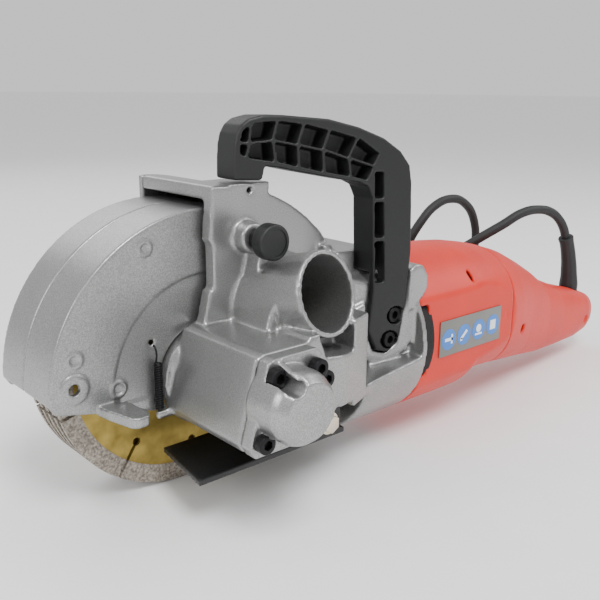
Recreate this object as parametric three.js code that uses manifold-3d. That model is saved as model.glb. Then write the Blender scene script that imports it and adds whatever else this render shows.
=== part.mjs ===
// Wall chaser: five diamond blades on one spindle, a bevel gear head, a universal motor and a tail handle.
// Units are millimetres and +Z is up. The tool frame has its origin on the spindle axis in the middle
// plane of
// the guard, +X towards the guard's front and +Y towards the bearing cover, on the operator's left.
// The exported group moves that frame so that the origin is under the middle of the tool, on the floor.
import * as THREE from "three";
import { mergeVertices } from "three/addons/utils/BufferGeometryUtils.js";
import Module from "manifold-3d";

const wasm = await Module();
wasm.setup();

// ---------- Driving dimensions ----------
const GAP = 0.3; // space kept between touching pieces
const RUNNING = 0.4; // space kept around pieces that turn or slide

const BLADE_R = 66.5;
const BLADE_COUNT = 5;
const BLADE_PITCH = 6.25;
const BLADE_CORE = 1.6; // thickness of the steel core
const BLADE_RIM = 2.4; // thickness of the diamond segments
const SEGMENT_HEIGHT = 9;
const SEGMENTS = 9;
const NEAR_BLADE_Y = 10; // middle of the blade nearest the gear head
const BLADE_BORE_R = 11.1;

const GUARD_PIVOT = { x: -5.5, z: -7 }; // the guard swings about this axis, along Y
const GUARD_R = 80.3;
const GUARD_WALL = 2.4;
const GUARD_HALF_WIDTH = 25.3;
const GUARD_SEAM_Y = -1.2;
const GUARD_REAR_DEG = 100; // where the movable guard ends, under the bridge
const HOOD_GAP = 4; // between the movable guard and the bridge over it
const HOOD_WALL = 6.5;
const HOOD_FRONT_X = -4;
const CHEEK_IN_Y = 27.6; // near wall of the blade chamber
const CHEEK_OUT_Y = 35;
const CHAMBER_REAR_X = -69; // back wall of the blade chamber
const FAR_COVER_WALL = 3;

const MOTOR_Y = 26; // the motor axis runs along X at this Y, through the spindle axis
const SHAFT_R = 4;
const SHAFT_NIB_R = 1.6; // the shaft's thinner end, inside the pinion
const GEAR_TEETH = 30;
const PINION_TEETH = 12;
const GEAR_PITCH_R = 11;
const GEAR_TOE = 0.68; // small end of the teeth, as a share of the large end
const SPINDLE_R = 6;

const BOX = { x0: -28, z0: -22, z1: 20, y1: 84 }; // spindle box
const GEAR_ROOM_R = 11.5;
const SPINDLE_BEARING_R = 9.8; // outer bearing, held by the cover
const COVER_PLATE = 7;
const COVER_X0 = -21;
const CAP_R = 16.6;
const CAP_FLAT_R = 12.6;
const CAP_Y = 107.7;
const COVER_SCREWS = [[7.2, 12.8], [-15.6, 12], [13.6, -14.5], [-13, -16.2]];
const HOUSING_SCREW = [-26.2, 2.5];

const PORT_MOUTH = [-40, 74, 36.5];
const PORT_DIR = new THREE.Vector3(-0.142, 0.955, 0.258).normalize();
const PORT_R = 18;
const PORT_WALL = 2.4;
const PORT_DEPTH = 52;

const BARREL_R = 46;
const BARREL_Z = -7; // the shell sits lower than the motor axis
const BARREL_FRONT_X = -72;
const BARREL_REAR_X = -116;
const RED_WALL = 2.6;
const TAIL_SPLIT_X = -205; // where the tail handle's halves begin
const TAIL_END_X = -364.5;

const HANDLE_FRONT = { x: -19, y: 34.6 }; // near face of the front foot
const HANDLE_SKEW = 0.33; // how far the handle leaves the X direction, per mm
const HANDLE_THICK = 15;

const PLATE = { x0: -64, x1: 25, farX1: 19, y0: 23, y1: 62, z: -43, thick: 3 };
const PLATE_BOLT = { x: -52, z: -34.5 };
const PLATE_TRAVEL = 7;

const KNOB = { x: -22, z: 59.5 };
const KNOB_TRAVEL = 5;

const CORD_R = 3.25;
const FLOOR_Z = -BLADE_R;

// ---------- Solids ----------
function solid(geometry) {
  const bare = geometry.index ? geometry.toNonIndexed() : geometry.clone();
  bare.deleteAttribute("normal");
  bare.deleteAttribute("uv");
  const merged = mergeVertices(bare, 1e-4);
  const triVerts = new Uint32Array(merged.index.array);
  const vertProperties = new Float32Array(merged.attributes.position.array);
  const made = new wasm.Manifold(new wasm.Mesh({ numProp: 3, vertProperties, triVerts }));
  if (made.volume() > 0) return made;
  for (let i = 0; i < triVerts.length; i += 3) {
    [triVerts[i + 1], triVerts[i + 2]] = [triVerts[i + 2], triVerts[i + 1]];
  }
  return new wasm.Manifold(new wasm.Mesh({ numProp: 3, vertProperties, triVerts }));
}

function geometryOf(body) {
  const mesh = body.getMesh();
  const geometry = new THREE.BufferGeometry();
  geometry.setAttribute("position", new THREE.BufferAttribute(new Float32Array(mesh.vertProperties), 3));
  geometry.setIndex([...mesh.triVerts]);
  geometry.computeVertexNormals();
  return geometry;
}

const join = (first, ...others) => others.reduce((sum, other) => sum.add(other), first);
const cut = (first, ...others) => others.reduce((left, other) => left.subtract(other), first);

function box(x0, x1, y0, y1, z0, z1) {
  const geometry = new THREE.BoxGeometry(x1 - x0, y1 - y0, z1 - z0);
  return solid(geometry.translate((x0 + x1) / 2, (y0 + y1) / 2, (z0 + z1) / 2));
}

// A profile of [radius, height] pairs that starts and ends on the axis, or closes on itself.
function latheGeometry(profile, segments) {
  const points = profile.map(([r, h]) => new THREE.Vector2(r, h));
  if (profile[0][0] > 0) points.push(points[0].clone());
  return new THREE.LatheGeometry(points, segments);
}

const latheY = (profile, x, z, segments = 24) => solid(latheGeometry(profile, segments).translate(x, 0, z));

function latheX(profile, y, z, segments = 24) {
  const geometry = latheGeometry(profile.map(([r, h]) => [r, h]), segments);
  return solid(geometry.rotateZ(-Math.PI / 2).translate(0, y, z));
}

const discY = (r, y0, y1, x, z, segments = 24) => latheY([[0, y0], [r, y0], [r, y1], [0, y1]], x, z,
  segments);
const discX = (r, x0, x1, y, z, segments = 24) => latheX([[0, x0], [r, x0], [r, x1], [0, x1]], y, z,
  segments);
const ringY = (r0, r1, y0, y1, x, z, n = 24) => latheY([[r0, y0], [r1, y0], [r1, y1], [r0, y1]], x, z, n);
const ringX = (r0, r1, x0, x1, y, z, n = 24) => latheX([[r0, x0], [r1, x0], [r1, x1], [r0, x1]], y, z, n);

// An outline in the XZ plane, extruded along Y from y0 to y1.
function prismY(shape, y0, y1, curveSegments = 6) {
  const geometry = new THREE.ExtrudeGeometry(shape, { depth: y1 - y0, bevelEnabled: false, curveSegments });
  return solid(geometry.rotateX(Math.PI / 2).translate(0, y1, 0));
}

// An outline in the XY plane, extruded along Z from z0 to z1.
function prismZ(shape, z0, z1, curveSegments = 6) {
  const geometry = new THREE.ExtrudeGeometry(shape, { depth: z1 - z0, bevelEnabled: false, curveSegments });
  return solid(geometry.translate(0, 0, z0));
}

const outline = (points) => new THREE.Shape(points.map(([a, b]) => new THREE.Vector2(a, b)));

// A cylinder from one point to another.
function rod(from, to, radius, segments = 24) {
  const a = new THREE.Vector3(...from);
  const b = new THREE.Vector3(...to);
  const direction = b.clone().sub(a);
  const geometry = new THREE.CylinderGeometry(radius, radius, direction.length(), segments);
  const turn = new THREE.Quaternion().setFromUnitVectors(new THREE.Vector3(0, 1, 0), direction.normalize());
  const place = new THREE.Matrix4().compose(a.add(b).multiplyScalar(0.5), turn, new THREE.Vector3(1, 1, 1));
  return solid(geometry.applyMatrix4(place));
}

// A closed skin over rings of points that all have the same count; the first and last rings are capped,
// or, when closed, the last ring joins the first.
function skin(rings, closed = false) {
  const count = rings[0].length;
  const positions = rings.flat().flat();
  const index = [];
  const last = closed ? rings.length : rings.length - 1;
  for (let i = 0; i < last; i++) {
    const next = (i + 1) % rings.length;
    for (let k = 0; k < count; k++) {
      const [a, b] = [i * count + k, i * count + ((k + 1) % count)];
      const [c, d] = [next * count + k, next * count + ((k + 1) % count)];
      index.push(a, b, d, a, d, c);
    }
  }
  if (!closed) {
    for (const start of [0, (rings.length - 1) * count]) {
      const ring = start === 0 ? rings[0] : rings[rings.length - 1];
      const middle = [0, 1, 2].map((axis) => ring.reduce((sum, point) => sum + point[axis], 0) / count);
      const centre = positions.length / 3;
      positions.push(...middle);
      for (let k = 0; k < count; k++) {
        const [a, b] = [start + k, start + ((k + 1) % count)];
        if (start === 0) index.push(centre, b, a);
        else index.push(centre, a, b);
      }
    }
  }
  const geometry = new THREE.BufferGeometry();
  geometry.setAttribute("position", new THREE.Float32BufferAttribute(positions, 3));
  geometry.setIndex(index);
  return solid(geometry);
}

// ---------- Materials ----------
const finish = (color, roughness, metalness) => new THREE.MeshStandardMaterial({ color, roughness,
  metalness });
const castPaint = finish(0xb0b0ac, 0.45, 0.6);
const redPlastic = finish(0xf05f41, 0.5, 0);
const blackPlastic = finish(0x262828, 0.55, 0);
const steel = finish(0x9a9a98, 0.35, 0.9);
const blackSteel = finish(0x1c1c1e, 0.5, 0.6);
const nickel = finish(0xc8c0a8, 0.3, 0.9);
const bladeSteel = finish(0x96805a, 0.5, 0.7);
const copper = finish(0xb87333, 0.4, 0.9);
const rubber = finish(0x1f2122, 0.75, 0);
const labelGrey = finish(0x6e6e69, 0.5, 0.1);

const tool = new THREE.Group();
function piece(name, body, material) {
  const mesh = new THREE.Mesh(geometryOf(body), material);
  mesh.name = name;
  tool.add(mesh);
  return mesh;
}

// ---------- Spindle and blades ----------
const bladeY = (i) => NEAR_BLADE_Y - i * BLADE_PITCH;
const flangeY = NEAR_BLADE_Y + BLADE_CORE / 2 + GAP; // blade side of the inner flange
const FLANGE_THICK = 2.2;
const SPINDLE_END_Y = -24;
const SPINDLE_TAIL_Y = 82;
const NOSE_Y = flangeY + FLANGE_THICK + RUNNING; // blade side of the gear head's nose
const NUT_THICK = 6;

function blade(i) {
  const y = bladeY(i);
  const inner = BLADE_R - SEGMENT_HEIGHT;
  const [core, rim] = [BLADE_CORE / 2, BLADE_RIM / 2];
  const profile = [[BLADE_BORE_R, y - core], [inner, y - core], [inner, y - rim], [BLADE_R, y - rim],
    [BLADE_R, y + rim], [inner, y + rim], [inner, y + core], [BLADE_BORE_R, y + core]];
  let body = latheY(profile, 0, 0, 45);
  for (let k = 0; k < SEGMENTS; k++) {
    const angle = ((k + 0.3) * 2 * Math.PI) / SEGMENTS;
    const slot = new THREE.BoxGeometry(SEGMENT_HEIGHT * 2.2, BLADE_RIM * 2, 1.8);
    slot.translate(BLADE_R - SEGMENT_HEIGHT * 0.7, y, 0).rotateY(angle);
    body = cut(body, solid(slot));
  }
  return body;
}

function addSpindle() {
  const threads = SPINDLE_R - 0.6;
  piece("spindle", latheY([[0, SPINDLE_END_Y], [threads, SPINDLE_END_Y], [threads, flangeY],
    [SPINDLE_R, flangeY],
    [SPINDLE_R, SPINDLE_TAIL_Y], [0, SPINDLE_TAIL_Y]], 0, 0), steel);
  const sleeveEnd = bladeY(BLADE_COUNT - 1) - BLADE_CORE / 2;
  const bore = SPINDLE_R + GAP;
  const sleeve = BLADE_BORE_R - GAP;
  piece("inner_flange", latheY([[bore, sleeveEnd], [sleeve, sleeveEnd], [sleeve, flangeY], [20, flangeY],
    [20, flangeY + FLANGE_THICK], [bore, flangeY + FLANGE_THICK]], 0, 0), steel);
  for (let i = 0; i < BLADE_COUNT; i++) piece(`blade_${i + 1}`, blade(i), bladeSteel);
  for (let i = 0; i < BLADE_COUNT - 1; i++) {
    const high = bladeY(i) - BLADE_CORE / 2 - GAP / 2;
    const low = bladeY(i + 1) + BLADE_CORE / 2 + GAP / 2;
    piece(`blade_spacer_${i + 1}`, ringY(BLADE_BORE_R + 0.1, 20, low, high, 0, 0, 28), steel);
  }
  const nutTop = sleeveEnd - GAP;
  const nutRadius = 17;
  piece("clamp_nut", cut(
    ringY(bore, nutRadius, nutTop - NUT_THICK, nutTop, 0, 0),
    ...[0, 1].map((side) => discY(1.8, nutTop - NUT_THICK - 1, nutTop - 2, (side ? 1 : -1) * 11.5, 0, 12)),
  ), blackSteel);
}

// ---------- Bevel gears ----------
// A bevel gear with straight teeth. The apex is at the origin and the gear points along +axis, which is
// Y here.
// Each tooth stands out from the pitch cone along its normal, and everything shrinks towards the apex.
function bevelRings(teeth, pitchR, pitchHeight, back, bore, hubR) {
  const slant = Math.hypot(pitchR, pitchHeight);
  const along = [pitchR / slant, pitchHeight / slant]; // radial and axial parts of the cone's direction
  const out = [along[1], -along[0]]; // away from the gear's body
  const module_ = (2 * pitchR) / teeth;
  const levels = [-1.05, 0.7, 0.7, -1.05].map((share) => share * module_);
  const steps = [0.02, 0.34, 0.5, 0.82]; // shares of one tooth pitch: flank, tip, tip, flank
  const ringAt = (scale) => {
    const ring = [];
    for (let t = 0; t < teeth; t++) {
      for (let s = 0; s < 4; s++) {
        const angle = ((t + steps[s] - 0.42) * 2 * Math.PI) / teeth;
        const r = (pitchR + levels[s] * out[0]) * scale;
        const h = (pitchHeight + levels[s] * out[1]) * scale;
        ring.push([r * Math.cos(angle), h, r * Math.sin(angle)]);
      }
    }
    return ring;
  };
  const circle = (r, h) => ringAt(1).map(([x, , z]) => {
    const angle = Math.atan2(z, x);
    return [r * Math.cos(angle), h, r * Math.sin(angle)];
  });
  const toe = pitchHeight * GEAR_TOE;
  return skin([circle(bore, toe), ringAt(GEAR_TOE), ringAt(1), circle(hubR, back), circle(bore, back)],
    true);
}

// Moves a solid that was made about the Y axis so that its apex is where the two shafts' axes cross.
function placed(body, matrix) {
  return solid(geometryOf(body).applyMatrix4(matrix));
}

const PINION_PITCH_R = (GEAR_PITCH_R * PINION_TEETH) / GEAR_TEETH;
const GEAR_BACK = 12.5;
const PINION_BACK = 21;

function addGears() {
  const crossing = new THREE.Matrix4().makeTranslation(0, MOTOR_Y, 0);
  const halfTooth = Math.PI / GEAR_TEETH;
  const turn = new THREE.Matrix4().makeRotationY(halfTooth);
  const gear = bevelRings(GEAR_TEETH, GEAR_PITCH_R, PINION_PITCH_R, GEAR_BACK, SPINDLE_R + GAP,
    GEAR_PITCH_R - 1.5);
  piece("bevel_gear", placed(gear, crossing.clone().multiply(turn)), steel);
  const pinion = bevelRings(PINION_TEETH, PINION_PITCH_R, GEAR_PITCH_R, PINION_BACK, SHAFT_NIB_R + GAP,
    PINION_PITCH_R - 0.6);
  // +Y of the pinion points along -X of the tool, and one tooth points at the gear, along +Y of the tool.
  const basis = new THREE.Matrix4().makeBasis(
    new THREE.Vector3(0, 1, 0), new THREE.Vector3(-1, 0, 0), new THREE.Vector3(0, 0, 1));
  piece("bevel_pinion", placed(pinion, crossing.clone().multiply(basis)), steel);
}

// ---------- Movable guard ----------
const polar = (r, degrees) => {
  const angle = THREE.MathUtils.degToRad(degrees);
  return [GUARD_PIVOT.x + r * Math.cos(angle), GUARD_PIVOT.z + r * Math.sin(angle)];
};
const CHEEK_HOLE_R = 26; // hole in the guard's near cheek, which turns on the gear head's collar
const COLLAR_R = CHEEK_HOLE_R - RUNNING;

// The guard's side outline: the rim from its front bottom corner to its rear end, and a slanting bottom
// edge.
function guardOutline(radius) {
  const shape = new THREE.Shape();
  const rear = THREE.MathUtils.degToRad(GUARD_REAR_DEG);
  shape.moveTo(...polar(CHEEK_HOLE_R - 4, GUARD_REAR_DEG));
  shape.lineTo(-4, -22);
  shape.lineTo(19, -20.5);
  shape.lineTo(polar(radius, 2)[0] - 3, -9);
  shape.absarc(GUARD_PIVOT.x, GUARD_PIVOT.z, radius, THREE.MathUtils.degToRad(2), rear, false);
  return shape;
}

function guardHalf(y0, y1, cheekY0, cheekY1) {
  const shell = prismY(guardOutline(GUARD_R), y0, y1, 28);
  const inside = prismY(guardOutline(GUARD_R - GUARD_WALL), cheekY0, cheekY1, 28);
  const under = box(-40, 90, cheekY0, cheekY1, -60, -5); // the rim is open below
  return cut(shell, inside, under);
}

const GUARD_HOOK = { x: 24, z: 14 }; // where the return spring hooks into the near cheek
const GUARD_TAB = { z0: -14.5, z1: -9.5, y1: 48.5 }; // the finger tab on the near cheek

function addGuard() {
  const inner = GUARD_HALF_WIDTH - GUARD_WALL;
  const near = guardHalf(GUARD_SEAM_Y + GAP / 2, GUARD_HALF_WIDTH, GUARD_SEAM_Y - 1, inner);
  const hole = discY(CHEEK_HOLE_R, inner - 1, GUARD_HALF_WIDTH + 1, GUARD_PIVOT.x, GUARD_PIVOT.z, 36);
  const hook = discY(1.4, inner - 1, GUARD_HALF_WIDTH + 1, GUARD_HOOK.x, GUARD_HOOK.z, 10);
  const tabOutline = [[40, inner + 0.5], [52.5, inner + 0.5], [51.5, 32], [48, GUARD_TAB.y1 - 2],
    [45, GUARD_TAB.y1],
    [40.5, GUARD_TAB.y1 - 0.5], [38, GUARD_TAB.y1 - 4], [39, 32]];
  const tab = prismZ(outline(tabOutline), GUARD_TAB.z0, GUARD_TAB.z1);
  const boss = ringY(2.6, 6.5, GUARD_HALF_WIDTH - 0.5, GUARD_HALF_WIDTH + 0.9, 63, 1, 20);
  const drill = discY(2.6, inner - 1, GUARD_HALF_WIDTH + 2, 63, 1, 20);
  piece("movable_guard_near", cut(join(near, tab, boss), hole, hook, drill), castPaint);
  const far = guardHalf(-GUARD_HALF_WIDTH, GUARD_SEAM_Y - GAP / 2, -inner, GUARD_SEAM_Y + 1);
  const access = discY(27, -GUARD_HALF_WIDTH - 1, -inner + 1, GUARD_PIVOT.x, GUARD_PIVOT.z, 36);
  piece("movable_guard_far", cut(far, access), castPaint);
  for (const [i, [x, z]] of [polar(GUARD_R - 9, 8), polar(GUARD_R - 9, 50)].entries()) {
    const head = -GUARD_HALF_WIDTH - GAP;
    piece(`guard_screw_${i + 1}`, discY(3, head - 1.4, head, x, z, 16), steel);
  }
}

// The return spring: a helix of round wire with a straight hook, anchored on the spindle box's collar.
const SPRING = { x: 23.4, y: 28.4, z0: -17, z1: 7, r: 2.1, wire: 0.55, turns: 9 };
function addGuardSpring() {
  const steps = SPRING.turns * 8;
  const points = [];
  for (let i = 0; i <= steps; i++) {
    const angle = (i * 2 * Math.PI) / 8;
    const z = SPRING.z0 + ((SPRING.z1 - SPRING.z0) * i) / steps;
    points.push(new THREE.Vector3(SPRING.x + SPRING.r * Math.cos(angle),
      SPRING.y + SPRING.r * Math.sin(angle), z));
  }
  points.push(new THREE.Vector3(SPRING.x + 1.2, SPRING.y, SPRING.z1 + 3));
  points.push(new THREE.Vector3(GUARD_HOOK.x, SPRING.y - 1.2, GUARD_HOOK.z - 0.6));
  const path = new THREE.CatmullRomCurve3(points);
  const section = new THREE.Shape().absarc(0, 0, SPRING.wire, 0, 2 * Math.PI);
  const geometry = new THREE.ExtrudeGeometry(section,
    { steps: steps + 4, extrudePath: path, curveSegments: 2 });
  piece("guard_spring", solid(geometry), blackSteel);
}

// ---------- Gear housing casting ----------
const HOOD_IN_R = GUARD_R + HOOD_GAP;
const HOOD_OUT_R = HOOD_IN_R + HOOD_WALL;
const HOOD_FAR_Y = -GUARD_HALF_WIDTH - 0.6;
const TUNNEL_R = 12;

function hoodOutline(radius, frontX) {
  const start = Math.acos((frontX - GUARD_PIVOT.x) / radius);
  const end = Math.PI - Math.asin((20 - GUARD_PIVOT.z) / radius);
  const shape = new THREE.Shape();
  shape.absarc(GUARD_PIVOT.x, GUARD_PIVOT.z, radius, start, end, false);
  shape.lineTo(frontX, 20);
  return shape;
}

const portPoint = (distance) => PORT_DIR.clone().multiplyScalar(-distance).add(new THREE.Vector3(...PORT_MOUTH));

function barrelBody(x0, x1, grow = 0) {
  const round = discX(BARREL_R + grow, x0, x1, MOTOR_Y, BARREL_Z, 36);
  return round;
}

const HANDLE_OUTER = [[0, 85], [1.5, 99], [5, 109], [12, 114.3], [23, 114.6], [46, 112.7], [62, 108.8],
  [76, 103.4],
  [85.5, 97], [91, 90], [92.5, 82], [94, 46], [92, 19], [88.5, -3], [82, -8], [75, -6], [70, 5]];
const HANDLE_INNER = [[72, 27], [70.5, 74], [67.8, 80], [63, 82.3], [54.8, 83.7], [30.8, 88.3],
  [20.6, 90.5],
  [13.5, 91.5], [12, 85]];

// The D handle's outline lies in a plane that leaves the X direction by HANDLE_SKEW.
function handleBody(points, thick, nearOffset) {
  const length = Math.hypot(1, HANDLE_SKEW);
  const shape = outline(points.map(([s, z]) => [HANDLE_FRONT.x - s / length, z]));
  const body = prismY(shape, -thick + nearOffset, nearOffset);
  const shear = new THREE.Matrix4().makeShear(-HANDLE_SKEW, 0, 0, 0, 0, 0);
  const shift = new THREE.Matrix4().makeTranslation(0, HANDLE_FRONT.y + HANDLE_SKEW * HANDLE_FRONT.x, 0);
  return placed(body, shift.multiply(shear));
}

function gearHousing() {
  const hood = prismY(hoodOutline(HOOD_OUT_R, HOOD_FRONT_X), HOOD_FAR_Y, CHEEK_OUT_Y, 14);
  const cheek = prismY(outline([[HOOD_FRONT_X, 79], [-2, 59], [-9, 51], [-8.2, 38], [-1.6, 35.4],
    [1.6, 21.6],
    [8, 14], [8, BOX.z0], [-75, BOX.z0], [-75, 40], [-60, 56], [-40, 73]]), CHEEK_IN_Y - 1, CHEEK_OUT_Y);
  const spindleBox = prismY(boxOutline(BOX.x0), CHEEK_IN_Y, BOX.y1);
  const upperWindow = prismY(outline([[-26.5, 19.8], [-31, 10], [-53.6, 6.7], [-53.2, 26], [-26.5, 26]]),
    64, 90);
  const lowerWindow = prismY(outline([[-36, -30], [-37.5, -16.5], [-54, -18.5], [-54, -30]]), 64, 90);
  const shoulder = cut(
    prismZ(outline([[-20, BOX.y1], [-44, 82], [-75, 70], [-75, 28], [-20, 28]]), BOX.z0, 22),
    upperWindow,
    lowerWindow,
  );
  const portBlock = join(
    prismY(outline([[-14, 20], [-23.5, 53], [-46, 50], [-56, 36], [-58, 10], [-14, 10]]), 30, 46),
    prismY(outline([[-13, 18], [-21, 44], [-44, 46], [-52, 30], [-52, 10], [-13, 10]]), 40, 62),
  );
  const portTube = rod(portPoint(PORT_DEPTH - 8).toArray(), PORT_MOUTH, PORT_R + PORT_WALL, 32);
  const barrel = barrelBody(BARREL_REAR_X, BARREL_FRONT_X);
  const barrelTop = prismY(outline([[BARREL_FRONT_X, 47], [BARREL_FRONT_X - 30, 45], [BARREL_REAR_X, 41],
    [BARREL_REAR_X, 10], [BARREL_FRONT_X, 10]]), 0, 46);
  const rearWall = box(-75, CHAMBER_REAR_X, HOOD_FAR_Y, 40, -46, 50);
  const collar = discY(COLLAR_R, 18, CHEEK_IN_Y + 1, GUARD_PIVOT.x, GUARD_PIVOT.z, 36);
  const nose = discY(15.4, NOSE_Y, 30, 0, 0);
  const tunnel = discX(TUNNEL_R, -75, -18, MOTOR_Y, 0);
  const footBoss = box(-37, -14, 12, CHEEK_OUT_Y, 70, 84);
  const knobBoss = discY(7.2, CHEEK_OUT_Y - 1, 43, KNOB.x, KNOB.z, 24);
  const lugZ = PLATE.z + PLATE.thick + GAP + 0.5;
  const plateLug = box(PLATE_BOLT.x - 10, PLATE_BOLT.x + 10, 46, PLATE.y1 - 3 - GAP, lugZ, BOX.z0 + 1);
  const springPeg = box(14, 26, CHEEK_IN_Y, 31, -21.5, SPRING.z0 - 1);
  const casting = join(hood, cheek, spindleBox, shoulder, portBlock, portTube, barrel, barrelTop,
    rearWall, footBoss,
    knobBoss, plateLug, springPeg, collar, nose, tunnel);
  // A flat bay for the handle's leg, with a raised rim round its foot and an ear beside it.
  const legBay = handleBody([[52, -17], [52, 70], [99, 70], [99, -11]], 44, 40);
  const legRim = handleBody([[60, 16.4], [60, 2], [66, -9], [76, -14.5], [86, -14], [95, -8], [99.5, 0],
    [99.5, 32]], 9, -1);
  const earShape = outline([[-122, 24], [-122, 31], [-118, 37], [-112.5, 38.5], [-108, 36], [-108, 14],
    [-116, 16]]);
  const ear = cut(prismY(earShape, 48, 65), discX(BARREL_R + 0.8, -130, BARREL_REAR_X + 0.1, MOTOR_Y,
    BARREL_Z, 36));
  return join(cut(casting, legBay), legRim, ear);
}

// The spindle box's outline from its end: the front face slants down and forward.
const boxOutline = (x0) => outline([[5.5, BOX.z1], [9.5, 18.5], [19.3, -17], [16.5, -21.5],
  [x0 + 4, BOX.z0],
  [x0, -18], [x0, 16], [x0 + 4, BOX.z1]]);

// The spaces inside the casting.
function gearHousingHollows() {
  const far = HOOD_FAR_Y - 1;
  const chamber = cut(
    prismY(hoodOutline(HOOD_IN_R, HOOD_FRONT_X + 30), far, CHEEK_IN_Y, 14),
    box(-120, CHAMBER_REAR_X, far - 1, 40, -80, 90),
    discY(COLLAR_R, 18, CHEEK_IN_Y + 1, GUARD_PIVOT.x, GUARD_PIVOT.z, 36),
    discY(15.4, NOSE_Y, 30, 0, 0),
    discX(TUNNEL_R, -75, -18, MOTOR_Y, 0),
  );
  const lower = cut(box(CHAMBER_REAR_X, 30, far, NOSE_Y, -60, 21), discX(TUNNEL_R, -75, -18, MOTOR_Y, 0));
  const gearRoom = discY(GEAR_ROOM_R, MOTOR_Y + 1.5, BOX.y1 + 1, 0, 0);
  const noseBore = discY(SPINDLE_R + 1.2, NOSE_Y - 1, 30, 0, 0);
  const noseSeat = discY(13.2, NOSE_Y + 1.2, NOSE_Y + 7.8, 0, 0);
  const pinionRoom = discX(6, -23.7, -6.5, MOTOR_Y, 0, 24);
  const bearingSeat = discX(9.7, -30.3, -23.6, MOTOR_Y, 0, 24);
  const shaftBore = discX(SHAFT_R + 1, -100, -20, MOTOR_Y, 0, 20);
  const fanRoom = discX(25, -108, -94, MOTOR_Y, 0);
  const motorMouth = discX(30, BARREL_REAR_X - 1, -107, MOTOR_Y, 0, 36);
  const port = rod(portPoint(PORT_DEPTH).toArray(), portPoint(-1).toArray(), PORT_R, 32);
  const pin = discY(3.2, CHEEK_IN_Y - 1, 44, KNOB.x, KNOB.z, 16);
  const screws = COVER_SCREWS.map(([x, z]) => discY(2.2, 74, BOX.y1 + 1, x, z, 12));
  const legSlot = cut(
    handleBody([[69.4, 60], [69.4, 5], [74.5, -6.6], [82, -8.6], [89, -3.6], [92.7, 19], [94.8, 60]],
      HANDLE_THICK + GAP + 12, 12),
    box(-130, -70, 20, LEG_FOOT_Y - GAP, -30, LEG_THIN_Z - GAP),
  );
  return [chamber, lower, gearRoom, noseBore, noseSeat, pinionRoom, bearingSeat, shaftBore, fanRoom,
    motorMouth, port,
    pin, ...screws, legSlot, ...legScrewHoles(2.6), plateBolt(3, 1), footPin(1.6, 1)];
}

const LEG_FOOT_Y = 54; // back of the thin lower end of the handle's leg
const LEG_THIN_Z = 36;
const LEG_SCREWS = [[-101, 12], [-98, -1]];
const LEG_HEAD_Y = 57.4;
const legScrewHoles = (radius) => LEG_SCREWS.map(([x, z]) => discY(radius, 38, 80, x, z, 12));
const plateBolt = (radius, extra) => discY(radius, 50 - extra, PLATE.y1 + 2, PLATE_BOLT.x, PLATE_BOLT.z,
  16);
const footPin = (radius, extra) => discY(radius, 24 - extra, CHEEK_OUT_Y + 1, -25.5, 80.5, 12);

function addHousing() {
  piece("gear_housing", cut(gearHousing(), ...gearHousingHollows()), castPaint);
  const coverY1 = HOOD_FAR_Y - GAP;
  const coverY0 = coverY1 - FAR_COVER_WALL;
  const screws = [polar(HOOD_OUT_R - 2, 110), [CHAMBER_REAR_X - 3, 40], [CHAMBER_REAR_X - 3, -30]];
  const cover = join(
    prismY(hoodOutline(HOOD_OUT_R, HOOD_FRONT_X), coverY0, coverY1, 14),
    box(-75, -34, coverY0, coverY1, -46, 22),
  );
  piece("guard_far_cover", cover, castPaint);
  for (const [i, [x, z]] of screws.entries()) {
    piece(`far_cover_screw_${i + 1}`, discY(3, coverY0 - GAP - 2.2, coverY0 - GAP, x, z, 16), blackSteel);
  }
}

// ---------- Bearing cover ----------
function addBearingCover() {
  const y0 = BOX.y1 + GAP;
  const y1 = y0 + COVER_PLATE;
  const plate = prismY(boxOutline(COVER_X0), y0, y1);
  const cap = latheY([[0, y0], [CAP_R, y0], [CAP_R, CAP_Y - 7], [CAP_R - 1, CAP_Y - 4], [CAP_FLAT_R, CAP_Y],
    [0, CAP_Y]], 0, 0, 40);
  const seat = SPINDLE_BEARING_R + 0.2;
  const spigot = ringY(seat, GEAR_ROOM_R - GAP, 72, y0 + 0.5, 0, 0);
  const hollow = discY(seat, 60, y0 + 4, 0, 0);
  const holes = COVER_SCREWS.map(([x, z]) => discY(2.2, y0 - 1, y1 + 1, x, z, 12));
  const headRoom = COVER_SCREWS.map(([x, z]) => discY(4.6, y1, CAP_Y, x, z, 16));
  piece("bearing_cover", cut(join(plate, cap, spigot), hollow, ...holes, ...headRoom), castPaint);
  for (const [i, [x, z]] of COVER_SCREWS.entries()) {
    piece(`cover_screw_${i + 1}`, socketScrew(x, z, y1 + GAP, 4.5, 4, 1.9, 76), blackSteel);
  }
  piece("housing_screw", socketScrew(...HOUSING_SCREW, 84.6, 4.5, 4.3, 0, 0), blackSteel);
}

// A socket-head screw along Y: the head stands on y, and its shank reaches down to tip.
function socketScrew(x, z, y, headHeight, headR, shankR, tip) {
  const head = discY(headR, y, y + headHeight, x, z, 18);
  const socket = discY(headR * 0.55, y + headHeight - 2, y + headHeight + 1, x, z, 6);
  const body = cut(head, socket);
  return shankR > 0 ? join(body, discY(shankR, tip, y + 0.5, x, z, 12)) : body;
}

// ---------- Bearings, armature and stator ----------
const MOTOR = { front: -133, rear: -182, fanRear: -106, fanFront: -96, end: -212 };

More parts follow.
